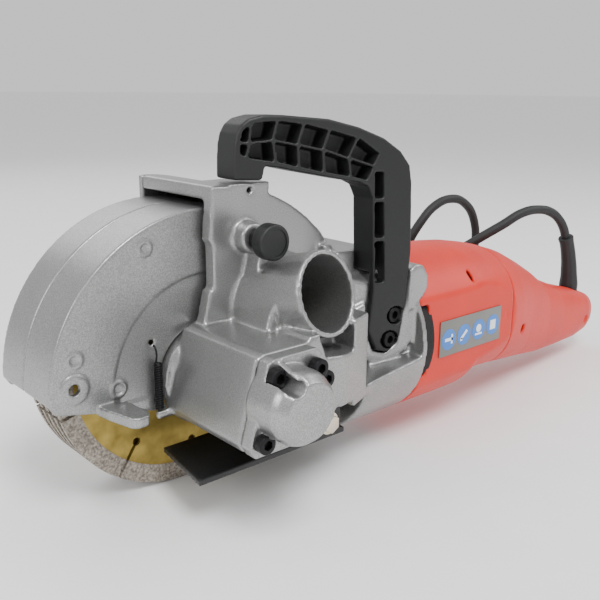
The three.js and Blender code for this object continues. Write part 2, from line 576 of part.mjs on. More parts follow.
function addMotor() {
  const run = RUNNING / 2;
  piece("spindle_bearing_inner", ringY(SPINDLE_R + run, 13, NOSE_Y + 1.4, NOSE_Y + 7.4, 0, 0, 28), steel);
  piece("spindle_bearing_outer", ringY(SPINDLE_R + run, SPINDLE_BEARING_R, 73, 81, 0, 0, 28), steel);
  piece("armature_front_bearing", ringX(SHAFT_R + run, 9.4, -30, -24, MOTOR_Y, 0, 24), steel);
  piece("armature_rear_bearing", ringX(SHAFT_R + run, 9.4, -209, -203, MOTOR_Y, 0, 24), steel);
  piece("armature_shaft", latheX([[0, MOTOR.end], [SHAFT_R, MOTOR.end], [SHAFT_R, -22],
    [SHAFT_NIB_R, -22], [SHAFT_NIB_R, -8],
    [0, -8]], MOTOR_Y, 0, 20), steel);
  const bore = SHAFT_R + 0.2;
  piece("armature_core", ringX(bore, 22, MOTOR.rear + 3, MOTOR.front - 3, MOTOR_Y, 0, 28), copper);
  piece("commutator", ringX(bore, 12, -200, -186, MOTOR_Y, 0, 24), copper);
  const fan = [ringX(bore, 9, MOTOR.fanRear, MOTOR.fanFront, MOTOR_Y, 0, 20),
    ringX(bore, 23.5, MOTOR.fanRear, MOTOR.fanRear + 1.6, MOTOR_Y, 0, 28)];
  for (let i = 0; i < 9; i++) {
    const vane = new THREE.BoxGeometry(8, 15.5, 1.6).translate(MOTOR.fanRear + 5, 15.7, 0);
    fan.push(solid(vane.rotateX((i * 2 * Math.PI) / 9).translate(0, MOTOR_Y, 0)));
  }
  piece("cooling_fan", join(...fan), blackPlastic);
  const stator = ringX(22.8, 33, MOTOR.rear, MOTOR.front, MOTOR_Y, 0, 32);
  piece("stator_core", cut(stator, box(-200, -120, MOTOR_Y + 31, 80, -40, 40)), steel);
  for (const side of [1, -1]) {
    const y = [12.5, 27].map((reach) => MOTOR_Y + side * reach).sort((a, b) => a - b);
    piece(`carbon_brush_${side > 0 ? 1 : 2}`, box(-196, -190, y[0], y[1], -3, 3), blackSteel);
  }
}

// ---------- Motor housing and tail handle ----------
// Sections of the plastic housing: [x, top, bottom, half width, squareness].
const RED_SECTIONS = [
  [BARREL_REAR_X - GAP, 39, -53, 46, 2], [-150, 38.5, -53, 46, 2], [-166, 38, -52, 45.5, 2.1],
  [-173, 37.5, -46, 45, 2.2], [-188, 36, -45, 43, 2.3], [TAIL_SPLIT_X, 33, -46, 40, 2.4],
  [-222, 28, -48, 36, 2.5],
  [-240, 20, -50, 31, 2.6], [-258, 11, -52, 27, 2.7], [-275, 1, -54, 23.5, 2.8], [-300, -8, -55, 20, 2.8],
  [-330, -16, -55, 17, 2.8], [-345, -20.5, -53, 15.3, 2.6], [-355, -24, -50.5, 11.8, 2.4],
  [-361, -28, -47, 8, 2.3],
  [TAIL_END_X, -33, -42, 3, 2.2],
];

function redBody(shrink, from, to) {
  const count = 32;
  const rows = RED_SECTIONS.filter(([x]) => x <= from + 1e-6 && x >= to - 1e-6);
  const rings = rows.map(([x, top, bottom, half, power]) => {
    const [a, b] = [half - shrink, (top - bottom) / 2 - shrink];
    const ring = [];
    for (let k = 0; k < count; k++) {
      const angle = (k * 2 * Math.PI) / count;
      const [c, s] = [Math.cos(angle), Math.sin(angle)];
      const y = MOTOR_Y + a * Math.sign(c) * Math.abs(c) ** (2 / power);
      const z = (top + bottom) / 2 + b * Math.sign(s) * Math.abs(s) ** (2 / power);
      ring.push([x, y, z]);
    }
    return ring;
  });
  return skin(rings);
}

const FLAT_Y = 65; // the near side of the motor housing is flat here
const LABEL = { x0: -191, x1: -134, z0: -18.5, z1: 2.5, thick: 0.8 };
const SWITCH = { x0: -232, x1: -204, z: 0, y: -12 };
const BOOT_BASE = [-338, MOTOR_Y, -21.5];

function addRedHousing() {
  const front = RED_SECTIONS[0][0];
  const flat = (wall) => box(TAIL_SPLIT_X - 5, front - 4, FLAT_Y - wall, 90, -90, 90);
  const inside = cut(redBody(RED_WALL, front, TAIL_SPLIT_X), flat(RED_WALL));
  const vent = box(-123, front + 1, 60, 80, -26, 14);
  const shell = cut(redBody(0, front, TAIL_SPLIT_X), inside, flat(0), vent);
  const bulkhead = cut(
    redBody(RED_WALL - 0.5, -188, TAIL_SPLIT_X),
    box(-202, -150, -60, 90, -80, 80),
    flat(RED_WALL - 0.5),
    discX(9.7, -220, -150, MOTOR_Y, 0, 24),
  );
  piece("motor_housing", join(shell, bulkhead), redPlastic);
  const tailStart = TAIL_SPLIT_X - GAP;
  const whole = cut(
    redBody(0, TAIL_SPLIT_X, TAIL_END_X),
    cut(redBody(RED_WALL, TAIL_SPLIT_X, -355), box(-212, -200, -60, 90, -60, 50)),
    discX(28, -213, -200, MOTOR_Y, -6, 32),
    box(tailStart, -200, -60, 100, -90, 90),
    rod([BOOT_BASE[0], MOTOR_Y, -40], [BOOT_BASE[0], MOTOR_Y, 0], 6.4, 20),
    box(SWITCH.x0, SWITCH.x1, SWITCH.y - 6, SWITCH.y + 16, -7, 7),
  );
  const vents = [-228, -238, -248].map((x) => box(x - 1.5, x + 1.5, MOTOR_Y - 14, MOTOR_Y + 14, 2, 40));
  const screwHoles = TAIL_SCREWS.map(([x, z]) => discY(3.2, 34, 90, x, z, 14));
  const body = cut(whole, ...vents, ...screwHoles);
  piece("tail_handle_left", cut(body, box(-400, -190, -60, MOTOR_Y + GAP / 2, -90, 90)), redPlastic);
  piece("tail_handle_right", cut(body, box(-400, -190, MOTOR_Y - GAP / 2, 100, -90, 90)), redPlastic);
  piece("label_plate", box(LABEL.x0, LABEL.x1, FLAT_Y + GAP / 3, FLAT_Y + LABEL.thick, LABEL.z0,
    LABEL.z1), labelGrey);
}

const TAIL_SCREWS = [[-224, -20], [-340, -40]];

function addSwitch() {
  const thumb = box(SWITCH.x0 + 8, SWITCH.x1 - 6, SWITCH.y - 5.5, SWITCH.y + 5, -4.6, 4.6);
  piece("switch_slider", thumb, blackPlastic);
  piece("switch_block", box(-300, -262, 14, 38, -34, -18), blackPlastic);
}

// ---------- D handle ----------
function addHandle() {
  const body = handleBody([...HANDLE_OUTER, ...HANDLE_INNER], HANDLE_THICK, 0);
  const thinned = box(-130, -70, 20, LEG_FOOT_Y, -30, LEG_THIN_Z);
  const counterbores = LEG_SCREWS.map(([x, z]) => discY(4.8, LEG_HEAD_Y, 90, x, z, 18));
  piece("d_handle", cut(body, thinned, ...legScrewHoles(2.6), ...counterbores), blackPlastic);
  for (const [i, [x, z]] of LEG_SCREWS.entries()) {
    const screw = socketScrew(x, z, LEG_HEAD_Y + GAP, 3, 4.3, 2.2, LEG_FOOT_Y - 2.4);
    piece(`handle_screw_${i + 1}`, screw, blackSteel);
  }
}

// ---------- Guard lock, base plate ----------
function addLock() {
  const tip = CHEEK_IN_Y + 0.6;
  piece("lock_pin", latheY([[0, tip], [2.8, tip], [2.8, 47], [0, 47]], KNOB.x, KNOB.z, 16), steel);
  piece("lock_knob", latheY([[3, 43.2 + KNOB_TRAVEL], [5, 43.2 + KNOB_TRAVEL], [5, 50.5], [8.4, 51],
    [8.4, 57], [7.6, 58],
    [0, 58], [0, 48], [3, 48]], KNOB.x, KNOB.z, 28), blackPlastic);
}

function addBasePlate() {
  const floor = prismZ(outline([[PLATE.x0, PLATE.y0], [PLATE.farX1, PLATE.y0], [PLATE.x1, PLATE.y1],
    [PLATE.x0, PLATE.y1]]), PLATE.z, PLATE.z + PLATE.thick);
  const tab = box(PLATE_BOLT.x - 9, PLATE_BOLT.x + 9, PLATE.y1 - PLATE.thick, PLATE.y1, PLATE.z, -23.4);
  const slot = join(
    discY(2.9, PLATE.y1 - 5, PLATE.y1 + 1, PLATE_BOLT.x, PLATE_BOLT.z, 16),
    discY(2.9, PLATE.y1 - 5, PLATE.y1 + 1, PLATE_BOLT.x, PLATE_BOLT.z + PLATE_TRAVEL, 16),
    box(PLATE_BOLT.x - 2.9, PLATE_BOLT.x + 2.9, PLATE.y1 - 5, PLATE.y1 + 1, PLATE_BOLT.z,
      PLATE_BOLT.z + PLATE_TRAVEL),
  );
  piece("base_plate", cut(join(floor, tab), slot), blackSteel);
  const head = discY(6, PLATE.y1 + GAP, PLATE.y1 + GAP + 4, PLATE_BOLT.x, PLATE_BOLT.z, 6);
  piece("base_plate_bolt", join(head, discY(2.5, 51, PLATE.y1 + 1, PLATE_BOLT.x, PLATE_BOLT.z, 14)),
    nickel);
}

// ---------- Cord ----------
// The route that isn't coiled, from the boot's end to the coil, as a cable lies behind the tool.
const CORD_ROUTE = [
  [-328.4, 25.1, 22.4], [-324.4, 24.9, 29.3], [-317.9, 24.1, 36.5], [-308.9, 22.7, 42],
  [-298.1, 20.5, 44.6],
  [-282.8, 16.2, 43.2], [-270, 9, 35], [-259.4, 0, 26.5], [-251, -10, 17.5], [-241.1, -20.9, 6.5],
  [-232, -30, -8], [-226.3, -37.5, -25], [-230.8, -42.8, -42.7], [-244.1, -46.4, -55.4],
  [-262.2, -47.6, -59.7],
  [-280.8, -47.6, -53.7], [-296, -46, -36.8], [-304.9, -43.5, -14.3], [-309.2, -41.4, 8.4],
  [-304.9, -40.9, 29],
  [-292.5, -40.8, 42.4], [-275.4, -41.1, 47.6], [-258.4, -42.5, 43.8], [-245.8, -44.8, 32.7],
  [-237.9, -50.5, 14.3], [-242.4, -59.9, -6], [-245.7, -73.9, -19.4], [-248.4, -88.7, -26.8],
  [-250, -103.7, -28.9],
];
const COIL = { x: -214.5, y: -126, r: 35.5, height: 40.6 }; // a stack of turns, entered at its top
const PLUG = { width: 26, thick: 15, length: 36, back: 33.5, sleeve: 7.5 };

function tube(points, radius, sides, steps) {
  const path = new THREE.CatmullRomCurve3(points.map((point) => new THREE.Vector3(...point)));
  const section = new THREE.Shape();
  for (let k = 0; k < sides; k++) {
    const angle = (k * 2 * Math.PI) / sides;
    const at = [radius * Math.cos(angle), radius * Math.sin(angle)];
    if (k === 0) section.moveTo(...at);
    else section.lineTo(...at);
  }
  section.closePath();
  return solid(new THREE.ExtrudeGeometry(section, { steps, extrudePath: path, curveSegments: 1 }));
}

function addCord() {
  const bootPoints = [BOOT_BASE, [-337, MOTOR_Y, -8], [-334, 25.6, 8], [-328.9, 25.2, 21.4]];
  piece("cord_boot", tube(bootPoints, 6, 14, 8), rubber);
  piece("cord_tube", tube(CORD_ROUTE, CORD_R, 8, 44), rubber);
  const z0 = FLOOR_Z + 0.2;
  const [inner, outer] = [COIL.r - CORD_R - 0.2, COIL.r + CORD_R + 0.2];
  const ring = latheGeometry([[inner, 0], [outer, 0], [outer, COIL.height], [inner, COIL.height]], 40);
  piece("cord_coil", solid(ring.rotateX(Math.PI / 2).translate(COIL.x, COIL.y, z0)), rubber);
  // The plug lies where the lowest turn leaves the coil, its two pins pointing along +Y.
  const [x, y, z] = [COIL.x + COIL.r, COIL.y + PLUG.back, z0 + PLUG.thick / 2];
  const pin = (side) => rod([x + side * 9.5, y + PLUG.length - 1, z],
    [x + side * 9.5, y + PLUG.length + 19, z], 2, 12);
  const plug = join(
    box(x - PLUG.width / 2, x + PLUG.width / 2, y, y + PLUG.length, z - PLUG.thick / 2, z + PLUG.thick / 2),
    rod([x, y - PLUG.sleeve, z], [x, y + 1, z], 5, 16),
    pin(-1),
    pin(1),
  );
  piece("plug", plug, rubber);
}

addSpindle();
addGears();
addGuard();
addGuardSpring();
addHousing();
addBearingCover();
addMotor();
addRedHousing();
addSwitch();
addHandle();
addLock();
addBasePlate();
addCord();

// The origin goes under the middle of the tool's own pieces, and the cord is left out of that box.
const part = new THREE.Group();
part.add(tool);
const reach = new THREE.Box3();
for (const mesh of tool.children) {
  if (!/^(cord|plug)/.test(mesh.name)) reach.expandByObject(mesh);
}
const middle = reach.getCenter(new THREE.Vector3());
tool.position.set(-middle.x, -middle.y, -reach.min.z);

export default part;
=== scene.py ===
"""Looks of a wall chaser: silver gear head, diamond blades, red motor body and black handle.

Sizes are in the tool's own millimetres: X forward, Y to the operator's left, Z up, from the spindle's axis.
"""

import math

import bpy
from mathutils import Matrix, Vector


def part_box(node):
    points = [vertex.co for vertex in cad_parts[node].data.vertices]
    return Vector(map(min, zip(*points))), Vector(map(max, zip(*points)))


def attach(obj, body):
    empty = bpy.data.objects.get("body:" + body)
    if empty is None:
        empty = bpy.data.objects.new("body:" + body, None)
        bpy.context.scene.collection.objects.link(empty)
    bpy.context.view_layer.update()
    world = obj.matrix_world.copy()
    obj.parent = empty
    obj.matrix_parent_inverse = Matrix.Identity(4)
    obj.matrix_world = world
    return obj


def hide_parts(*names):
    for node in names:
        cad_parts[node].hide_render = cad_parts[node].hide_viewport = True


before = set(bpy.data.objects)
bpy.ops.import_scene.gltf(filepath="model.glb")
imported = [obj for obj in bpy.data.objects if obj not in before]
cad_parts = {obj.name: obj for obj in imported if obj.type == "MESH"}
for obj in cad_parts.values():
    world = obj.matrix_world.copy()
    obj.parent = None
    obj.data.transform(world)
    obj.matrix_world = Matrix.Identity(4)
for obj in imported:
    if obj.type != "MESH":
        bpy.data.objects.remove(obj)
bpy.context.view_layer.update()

MM = 0.001
SPINDLE_FAR_END = 24  # from the guard's middle plane to the spindle's end on the right
spindle_low, spindle_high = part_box("spindle")
# The tool's own origin: on the spindle's axis, in the middle plane of the guard.
ORIGIN = Vector((
    (spindle_low[0] + spindle_high[0]) / 2,
    spindle_low[1] + SPINDLE_FAR_END * MM,
    (spindle_low[2] + spindle_high[2]) / 2,
))
FLOOR = 0.0


def at(x, y, z):
    """A point of the tool, given in millimetres from its own origin, in metres of the shared frame."""
    return ORIGIN + Vector((x, y, z)) * MM


# ---------- Camera ----------
CAMERA_PLACE = (197.64, 322.42, 126.15)
CAMERA_RIGHT = Vector((-0.75002, 0.66136, 0.00856))
CAMERA_UP = Vector((-0.16644, -0.20126, 0.96529))

camera_data = bpy.data.cameras.new("camera")
camera_data.lens = 46.79
camera_data.sensor_width = 36
camera_data.clip_start = 0.01
camera = bpy.data.objects.new("camera", camera_data)
bpy.context.collection.objects.link(camera)
camera.matrix_world = Matrix.Translation(at(*CAMERA_PLACE)) @ Matrix(
    (CAMERA_RIGHT, CAMERA_UP, CAMERA_RIGHT.cross(CAMERA_UP))).transposed().to_4x4()
bpy.context.scene.camera = camera


# ---------- Colours and nodes ----------
def linear(code):
    """An sRGB hex colour as linear red, green, blue and alpha."""
    parts = [int(code[i:i + 2], 16) / 255 for i in (0, 2, 4)]
    return [p / 12.92 if p <= 0.04045 else ((p + 0.055) / 1.055) ** 2.4 for p in parts] + [1.0]


def new_material(name, colour, roughness, metallic=0.0, **sockets):
    """A principled material and its shader; a socket is named with _ for each space."""
    material = bpy.data.materials.new(name)
    material.use_nodes = True
    shader = material.node_tree.nodes["Principled BSDF"]
    shader.inputs["Base Color"].default_value = linear(colour)
    shader.inputs["Roughness"].default_value = roughness
    shader.inputs["Metallic"].default_value = metallic
    for socket, value in sockets.items():
        shader.inputs[socket.replace("_", " ")].default_value = value
    return material, shader


def add(material, kind, inputs=None, **settings):
    """Adds a node; inputs may be values or another node's output socket."""
    node = material.node_tree.nodes.new(kind)
    for name, value in settings.items():
        setattr(node, name, value)
    for name, value in (inputs or {}).items():
        if isinstance(value, bpy.types.NodeSocket):
            material.node_tree.links.new(value, node.inputs[name])
        else:
            node.inputs[name].default_value = value
    return node


def link(material, output, target):
    """Joins a node's output to another node's input."""
    material.node_tree.links.new(output, target)


def per_metre(size_mm):
    """The noise scale whose grain is about that size."""
    return 1000 / size_mm


def grain(material, size_mm, detail=2.0):
    """Noise on object coordinates, its grain about size_mm across."""
    place = add(material, "ShaderNodeTexCoord")
    return add(material, "ShaderNodeTexNoise",
               {"Vector": place.outputs["Object"], "Scale": per_metre(size_mm), "Detail": detail})


def ramp(material, source, low, high, dark, light):
    """Turns a 0 to 1 pattern into a blend of two colours between low and high."""
    node = add(material, "ShaderNodeValToRGB", {"Fac": source})
    node.color_ramp.elements[0].position = low
    node.color_ramp.elements[1].position = high
    node.color_ramp.elements[0].color = dark
    node.color_ramp.elements[1].color = light
    return node


def grey(value):
    """A grey as a ramp's colour, or as a plain number for a roughness."""
    return (value, value, value, 1.0)


def bump(material, shader, height, distance_mm, strength=1.0):
    """Raises the surface by a pattern, up to distance_mm."""
    node = add(material, "ShaderNodeBump",
               {"Height": height, "Distance": distance_mm * MM, "Strength": strength})
    link(material, node.outputs["Normal"], shader.inputs["Normal"])


def cast_enamel():
    """Die-cast aluminium under silver enamel: a soft satin with a faint sparkle of flakes.

    The metal flakes are drawn 0.5 mm across, coarser than real ones, so that they show. The enamel's
    slight orange peel is 2.4 mm across.
    """
    material, shader = new_material("silver_enamel_on_castings", "9a9b9a", 0.36, 0.85)
    flakes = grain(material, 0.5, 1.0)
    cloud = grain(material, 30)
    colour = ramp(material, flakes.outputs["Fac"], 0.35, 0.75, linear("8f908f"), linear("aeafae"))
    tone = ramp(material, cloud.outputs["Fac"], 0.3, 0.7, grey(0.9), grey(1.0))
    mixed = add(material, "ShaderNodeMix",
                {"Factor": 1.0, "A": colour.outputs["Color"], "B": tone.outputs["Color"]},
                data_type="RGBA", blend_type="MULTIPLY")
    link(material, mixed.outputs["Result"], shader.inputs["Base Color"])
    rough = ramp(material, flakes.outputs["Fac"], 0.35, 0.7, grey(0.4), grey(0.31))
    link(material, rough.outputs["Color"], shader.inputs["Roughness"])
    peel = grain(material, 2.4, 2.0)
    bump(material, shader, peel.outputs["Fac"], 0.05, 0.4)
    return material


def moulded(name, colour, light, roughness, size_mm, depth_mm, **sockets):
    """A moulding, a coat or a film: even colour with a faint cloud, and a fine grain in gloss and relief."""
    material, shader = new_material(name, colour, roughness, 0.0, **sockets)
    cloud = grain(material, 22)
    tone = ramp(material, cloud.outputs["Fac"], 0.3, 0.75, linear(colour), linear(light))
    link(material, tone.outputs["Color"], shader.inputs["Base Color"])
    texture = grain(material, size_mm, 2.0)
    rough = ramp(material, texture.outputs["Fac"], 0.3, 0.7,
                 grey(roughness - 0.06), grey(roughness + 0.08))
    link(material, rough.outputs["Color"], shader.inputs["Roughness"])
    bump(material, shader, texture.outputs["Fac"], depth_mm, 0.5)
    return material


def bare_metal(name, colour, roughness, size_mm=0.5, metallic=1.0):
    """Machined or plated metal: tight grain in the gloss and very shallow tool marks."""
    material, shader = new_material(name, colour, roughness, metallic)
    texture = grain(material, size_mm, 3.0)
    rough = ramp(material, texture.outputs["Fac"], 0.3, 0.7,
                 grey(roughness * 0.8), grey(min(1.0, roughness * 1.25)))
    link(material, rough.outputs["Color"], shader.inputs["Roughness"])
    bump(material, shader, texture.outputs["Fac"], 0.04, 0.4)
    return material


def blade_core():
    """Spring steel with a thin yellow zinc wash: gold, clouded over 9 mm, with fine shallow tool marks."""
    material, shader = new_material("zinc_washed_blade_steel", "a98f45", 0.42, 0.85)
    cloud = grain(material, 9, 3.0)
    tone = ramp(material, cloud.outputs["Fac"], 0.3, 0.7, linear("8f7a3c"), linear("c3a95a"))
    link(material, tone.outputs["Color"], shader.inputs["Base Color"])
    marks = grain(material, 0.5, 2.0)
    bump(material, shader, marks.outputs["Fac"], 0.05, 0.5)
    return material


def diamond_rim():
    """Sintered bronze with diamond grit: matte and sandy, with dark and pale specks.

    The specks are drawn 1.1 mm across, coarser than real grit, so that they show.
    """
    material, shader = new_material("sintered_diamond_rim", "9a9186", 0.7, 0.45)
    grit = grain(material, 1.1, 3.0)
    tone = ramp(material, grit.outputs["Fac"], 0.35, 0.68, linear("7c736a"), linear("bcb4a8"))
    link(material, tone.outputs["Color"], shader.inputs["Base Color"])
    bump(material, shader, grit.outputs["Fac"], 0.3, 0.8)
    return material


SILVER = cast_enamel()
# Glass-filled nylon of the motor body and tail: a red satin that shows broad, soft highlights.
RED = moulded("red_nylon_satin", "c81f0a", "d2260e", 0.46, 0.8, 0.03)
# Nylon of the handle and knob: deep black, its spark-eroded grain breaks the highlights.
BLACK = moulded("black_nylon_grained", "08090a", "0d0e0f", 0.5, 0.7, 0.05)
# Soft rubber of the lead, its sleeve and the plug: matte and a little greyer than the nylon.
RUBBER = moulded("black_cable_rubber", "141516", "1c1d1e", 0.6, 0.6, 0.05)
# Black oxide on screws and spring: dark, with a low metallic gloss.
OXIDE = bare_metal("black_oxide_steel", "1b1b1d", 0.42, 0.5, 0.7)
# Ground shafts, bearings and gears: bright, with short streaks of gloss.
STEEL = bare_metal("ground_steel", "a4a4a2", 0.32)
# Satin nickel on the clamp bolt and the plug's pins: the warmest and shiniest metal here.
NICKEL = bare_metal("satin_nickel_plate", "d8d0bc", 0.24)
# Powder coat on the bent base plate: black, slightly shinier than the handle.
SHEET_BLACK = moulded("black_powder_coat_on_sheet", "0b0b0c", "111113", 0.42, 0.9, 0.05)
CORE = blade_core()
RIM = diamond_rim()
# Enamelled copper of the windings and brushes.
COPPER = bare_metal("enamelled_copper", "a8612e", 0.4)
# Film of the label, and the inks of its signs: smooth, with hardly any relief.
LABEL = moulded("printed_label_film", "6a6a66", "74746f", 0.4, 0.7, 0.01)
SIGN_BLUE = moulded("printed_blue_ink", "2f6fc0", "3a7acb", 0.4, 0.7, 0.01)
SIGN_WHITE = moulded("printed_white_ink", "e4e8ec", "eef1f4", 0.4, 0.7, 0.01)
# The air guide inside the motor: dull black, its colour standing in as painted shade, so that the motor's gap
# reads as a hollow.
PAINTED_SHADE_BLACK = moulded("air_guide_black_as_painted_shade", "0c0c0d", "121213", 0.8, 0.8, 0.02)


# ---------- Modelling tools ----------
def only(obj):
    """Selects one object alone."""
    bpy.ops.object.select_all(action="DESELECT")
    obj.select_set(True)
    bpy.context.view_layer.objects.active = obj
    return obj


def named(name, material):
    """The object that was just added, named, with its place in its mesh."""
    piece = bpy.context.object
    piece.name = name
    only(piece)
    bpy.ops.object.transform_apply(location=True, rotation=True, scale=True)
    piece.data.materials.clear()
    piece.data.materials.append(material)
    return piece


def block(name, x, y, z, material, turn=(0, 0, 0)):
    """A block that spans the given tool millimetres."""
    bpy.ops.object.select_all(action="DESELECT")
    centre = at((x[0] + x[1]) / 2, (y[0] + y[1]) / 2, (z[0] + z[1]) / 2)
    bpy.ops.mesh.primitive_cube_add(size=1, location=centre, rotation=turn)
    bpy.context.object.scale = [(high - low) * MM for low, high in (x, y, z)]
    return named(name, material)


def cylinder(name, start, end, radius, material, sides=48, end_radius=None):
    """A cylinder or cone between two points of the tool."""
    bpy.ops.object.select_all(action="DESELECT")
    a, b = at(*start), at(*end)
    turn = (b - a).to_track_quat("Z", "Y").to_euler()
    top = radius if end_radius is None else end_radius
    bpy.ops.mesh.primitive_cone_add(vertices=sides, radius1=radius * MM, radius2=top * MM,
                                    depth=(b - a).length, location=(a + b) / 2, rotation=turn)
    return named(name, material)


def modify(piece, kind, **settings):
    """Adds a modifier and applies it."""
    only(piece)
    bpy.ops.object.modifier_add(type=kind)
    modifier = piece.modifiers[-1]
    for key, value in settings.items():
        setattr(modifier, key, value)
    bpy.ops.object.modifier_apply(modifier=modifier.name)
    return piece


def rounded(piece, width_mm, segments=2, angle=30):
    """Rounds the edges that are sharper than the angle, in degrees."""
    modify(piece, "BEVEL", width=width_mm * MM, segments=segments, limit_method="ANGLE",
           angle_limit=math.radians(angle), use_clamp_overlap=True, harden_normals=False)
    return smooth(piece)


def smooth(piece, angle=35):
    """Shades the piece smooth, apart from edges sharper than the angle, in degrees."""
    only(piece)
    bpy.ops.object.shade_smooth_by_angle(angle=math.radians(angle))
    return piece


def carve(piece, *cutters):
    """Cuts the other shapes out of the piece and removes them."""
    for cutter in cutters:
        modify(piece, "BOOLEAN", operation="DIFFERENCE", object=cutter, solver="EXACT")
        bpy.data.objects.remove(cutter, do_unlink=True)
    return piece


def joined(piece, *others):
    """Puts the other shapes' meshes into the piece."""
    bpy.ops.object.select_all(action="DESELECT")
    for other in others:
        other.select_set(True)
    piece.select_set(True)
    bpy.context.view_layer.objects.active = piece
    bpy.ops.object.join()
    return piece


def cast(piece, voxel_mm, passes, keep=1.0):
    """Gives a shape the rounded corners of a casting or moulding: one skin over all, then smoothed."""
    modify(piece, "REMESH", mode="VOXEL", voxel_size=voxel_mm * MM)
    modify(piece, "SMOOTH", factor=0.5, iterations=passes)
    if keep < 1:
        modify(piece, "DECIMATE", ratio=keep)
    only(piece)
    bpy.ops.object.shade_smooth()
    return piece


def copy_of(node, name, material):
    """A merged copy of a CAD node."""
    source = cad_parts[node]
    piece = bpy.data.objects.new(name, source.data.copy())
    bpy.context.collection.objects.link(piece)
    only(piece)
    bpy.ops.object.mode_set(mode="EDIT")
    bpy.ops.mesh.select_all(action="SELECT")
    bpy.ops.mesh.remove_doubles(threshold=0.000005)
    bpy.ops.object.mode_set(mode="OBJECT")
    piece.data.materials.clear()
    piece.data.materials.append(material)
    for polygon in piece.data.polygons:
        polygon.material_index = 0
    return piece


def twin(piece):
    """A second piece with its own copy of the mesh or curve."""
    other = piece.copy()
    other.data = piece.data.copy()
    bpy.context.collection.objects.link(other)
    return other


def mesh_piece(name, vertices, faces, material):
    """A new piece from its vertices and faces."""
    mesh = bpy.data.meshes.new(name)
    mesh.from_pydata(vertices, [], faces)
    mesh.materials.append(material)
    piece = bpy.data.objects.new(name, mesh)
    bpy.context.collection.objects.link(piece)
    return piece


def faces_out(piece):
    """Turns every face of a closed shape outwards."""
    only(piece)
    bpy.ops.object.mode_set(mode="EDIT")
    bpy.ops.mesh.select_all(action="SELECT")
    bpy.ops.mesh.normals_make_consistent(inside=False)
    bpy.ops.object.mode_set(mode="OBJECT")
    return piece


def plate(name, outline, y0, y1, material):
    """An outline of tool X and Z, extruded along Y."""
    piece = mesh_piece(name, [at(x, y0, z) for x, z in outline], [list(range(len(outline)))], material)
    only(piece)
    bpy.ops.object.mode_set(mode="EDIT")
    bpy.ops.mesh.select_all(action="SELECT")
    bpy.ops.mesh.extrude_region_move(TRANSFORM_OT_translate={"value": (0, (y1 - y0) * MM, 0)})
    bpy.ops.object.mode_set(mode="OBJECT")
    return faces_out(piece)


def wire(name, points, radius_mm, material, resolution=4, shares=None):
    """A smooth curve through tool points, with a round section; shares scale its radius at each point."""
    data = bpy.data.curves.new(name, "CURVE")
    data.dimensions = "3D"
    spline = data.splines.new("BEZIER")
    spline.bezier_points.add(len(points) - 1)
    for point, place in zip(spline.bezier_points, points):
        point.co = at(*place)
        point.handle_left_type = point.handle_right_type = "AUTO"
    for point, share in zip(spline.bezier_points, shares or []):
        point.radius = share
    spline.resolution_u = resolution
    data.bevel_depth = radius_mm * MM
    data.bevel_resolution = 3
    data.use_fill_caps = True
    piece = bpy.data.objects.new(name, data)
    bpy.context.collection.objects.link(piece)
    piece.data.materials.append(material)
    return piece


def to_mesh(piece):
    """Turns a curve into a mesh."""
    only(piece)
    bpy.ops.object.convert(target="MESH")
    return bpy.context.object


def finish(piece, body, slot, *nodes):
    """Rides on a body and stands for CAD nodes; the slot, the name of its finish, is not used."""
    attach(piece, body)
    if nodes:
        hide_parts(*nodes)
    return piece


def paint(node, material):
    """Gives a CAD node that stays a better material."""
    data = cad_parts[node].data
    data.materials.clear()
    data.materials.append(material)


def centre_of(node):
    """The middle of a node's box, in tool millimetres."""
    low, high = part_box(node)
    return [((low[i] + high[i]) / 2 - ORIGIN[i]) / MM for i in range(3)]


def near_side(node):
    """The tool Y of the node's side that faces the operator's left."""
    return (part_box(node)[1][1] - ORIGIN.y) / MM


# ---------- Cord ----------
CORD_R = 3.25
# From the strain relief through the two loops to the coil.
CORD_ROUTE = [
    (-328.4, 25.1, 22.4), (-324.4, 24.9, 29.3), (-317.9, 24.1, 36.5), (-308.9, 22.7, 42), (-298.1, 20.5, 44.6),
    (-282.8, 16.2, 43.2), (-270, 9, 35), (-259.4, 0, 26.5), (-251, -10, 17.5), (-241.1, -20.9, 6.5),
    (-232, -30, -8), (-226.3, -37.5, -25), (-230.8, -42.8, -42.7), (-244.1, -46.4, -55.4),
    (-262.2, -47.6, -59.7), (-280.8, -47.6, -53.7), (-296, -46, -36.8), (-304.9, -43.5, -14.3),
    (-309.2, -41.4, 8.4), (-304.9, -40.9, 29), (-292.5, -40.8, 42.4), (-275.4, -41.1, 47.6),
    (-258.4, -42.5, 43.8), (-245.8, -44.8, 32.7), (-237.9, -50.5, 14.3), (-242.4, -59.9, -6),
    (-245.7, -73.9, -19.4), (-248.4, -88.7, -26.8), (-250, -103.7, -28.9),
]
COIL_CENTRE = (-214.5, -126)
COIL_R = 35.5
COIL_POINTS = 16  # for each turn
COIL_TURNS = 5.5
COIL_TOP = -29.1
COIL_LIFT = 0.6  # how far the end rises off the floor on its way to the plug


def coil_points():
    """Turns that lie on each other, from the top of the stack down to the floor, then on to the plug."""
    floor = FLOOR - ORIGIN.z / MM + CORD_R
    points = []
    for i in range(int(COIL_TURNS * COIL_POINTS) + 1):
        turn = i / COIL_POINTS
        angle = math.pi + 2 * math.pi * turn
        z = COIL_TOP + (floor - COIL_TOP) * min(1, turn / (COIL_TURNS - 0.5))
        points.append((COIL_CENTRE[0] + COIL_R * math.cos(angle),
                       COIL_CENTRE[1] + COIL_R * math.sin(angle), z))
    x, y = COIL_CENTRE[0] + COIL_R, COIL_CENTRE[1]
    plug_z = centre_of("plug")[2]
    return points + [
        (x, y + 10, floor + COIL_LIFT), (x, y + 20, (floor + plug_z) / 2 + COIL_LIFT),
        (x, y + 30, plug_z), (x, y + 38, plug_z),
    ]


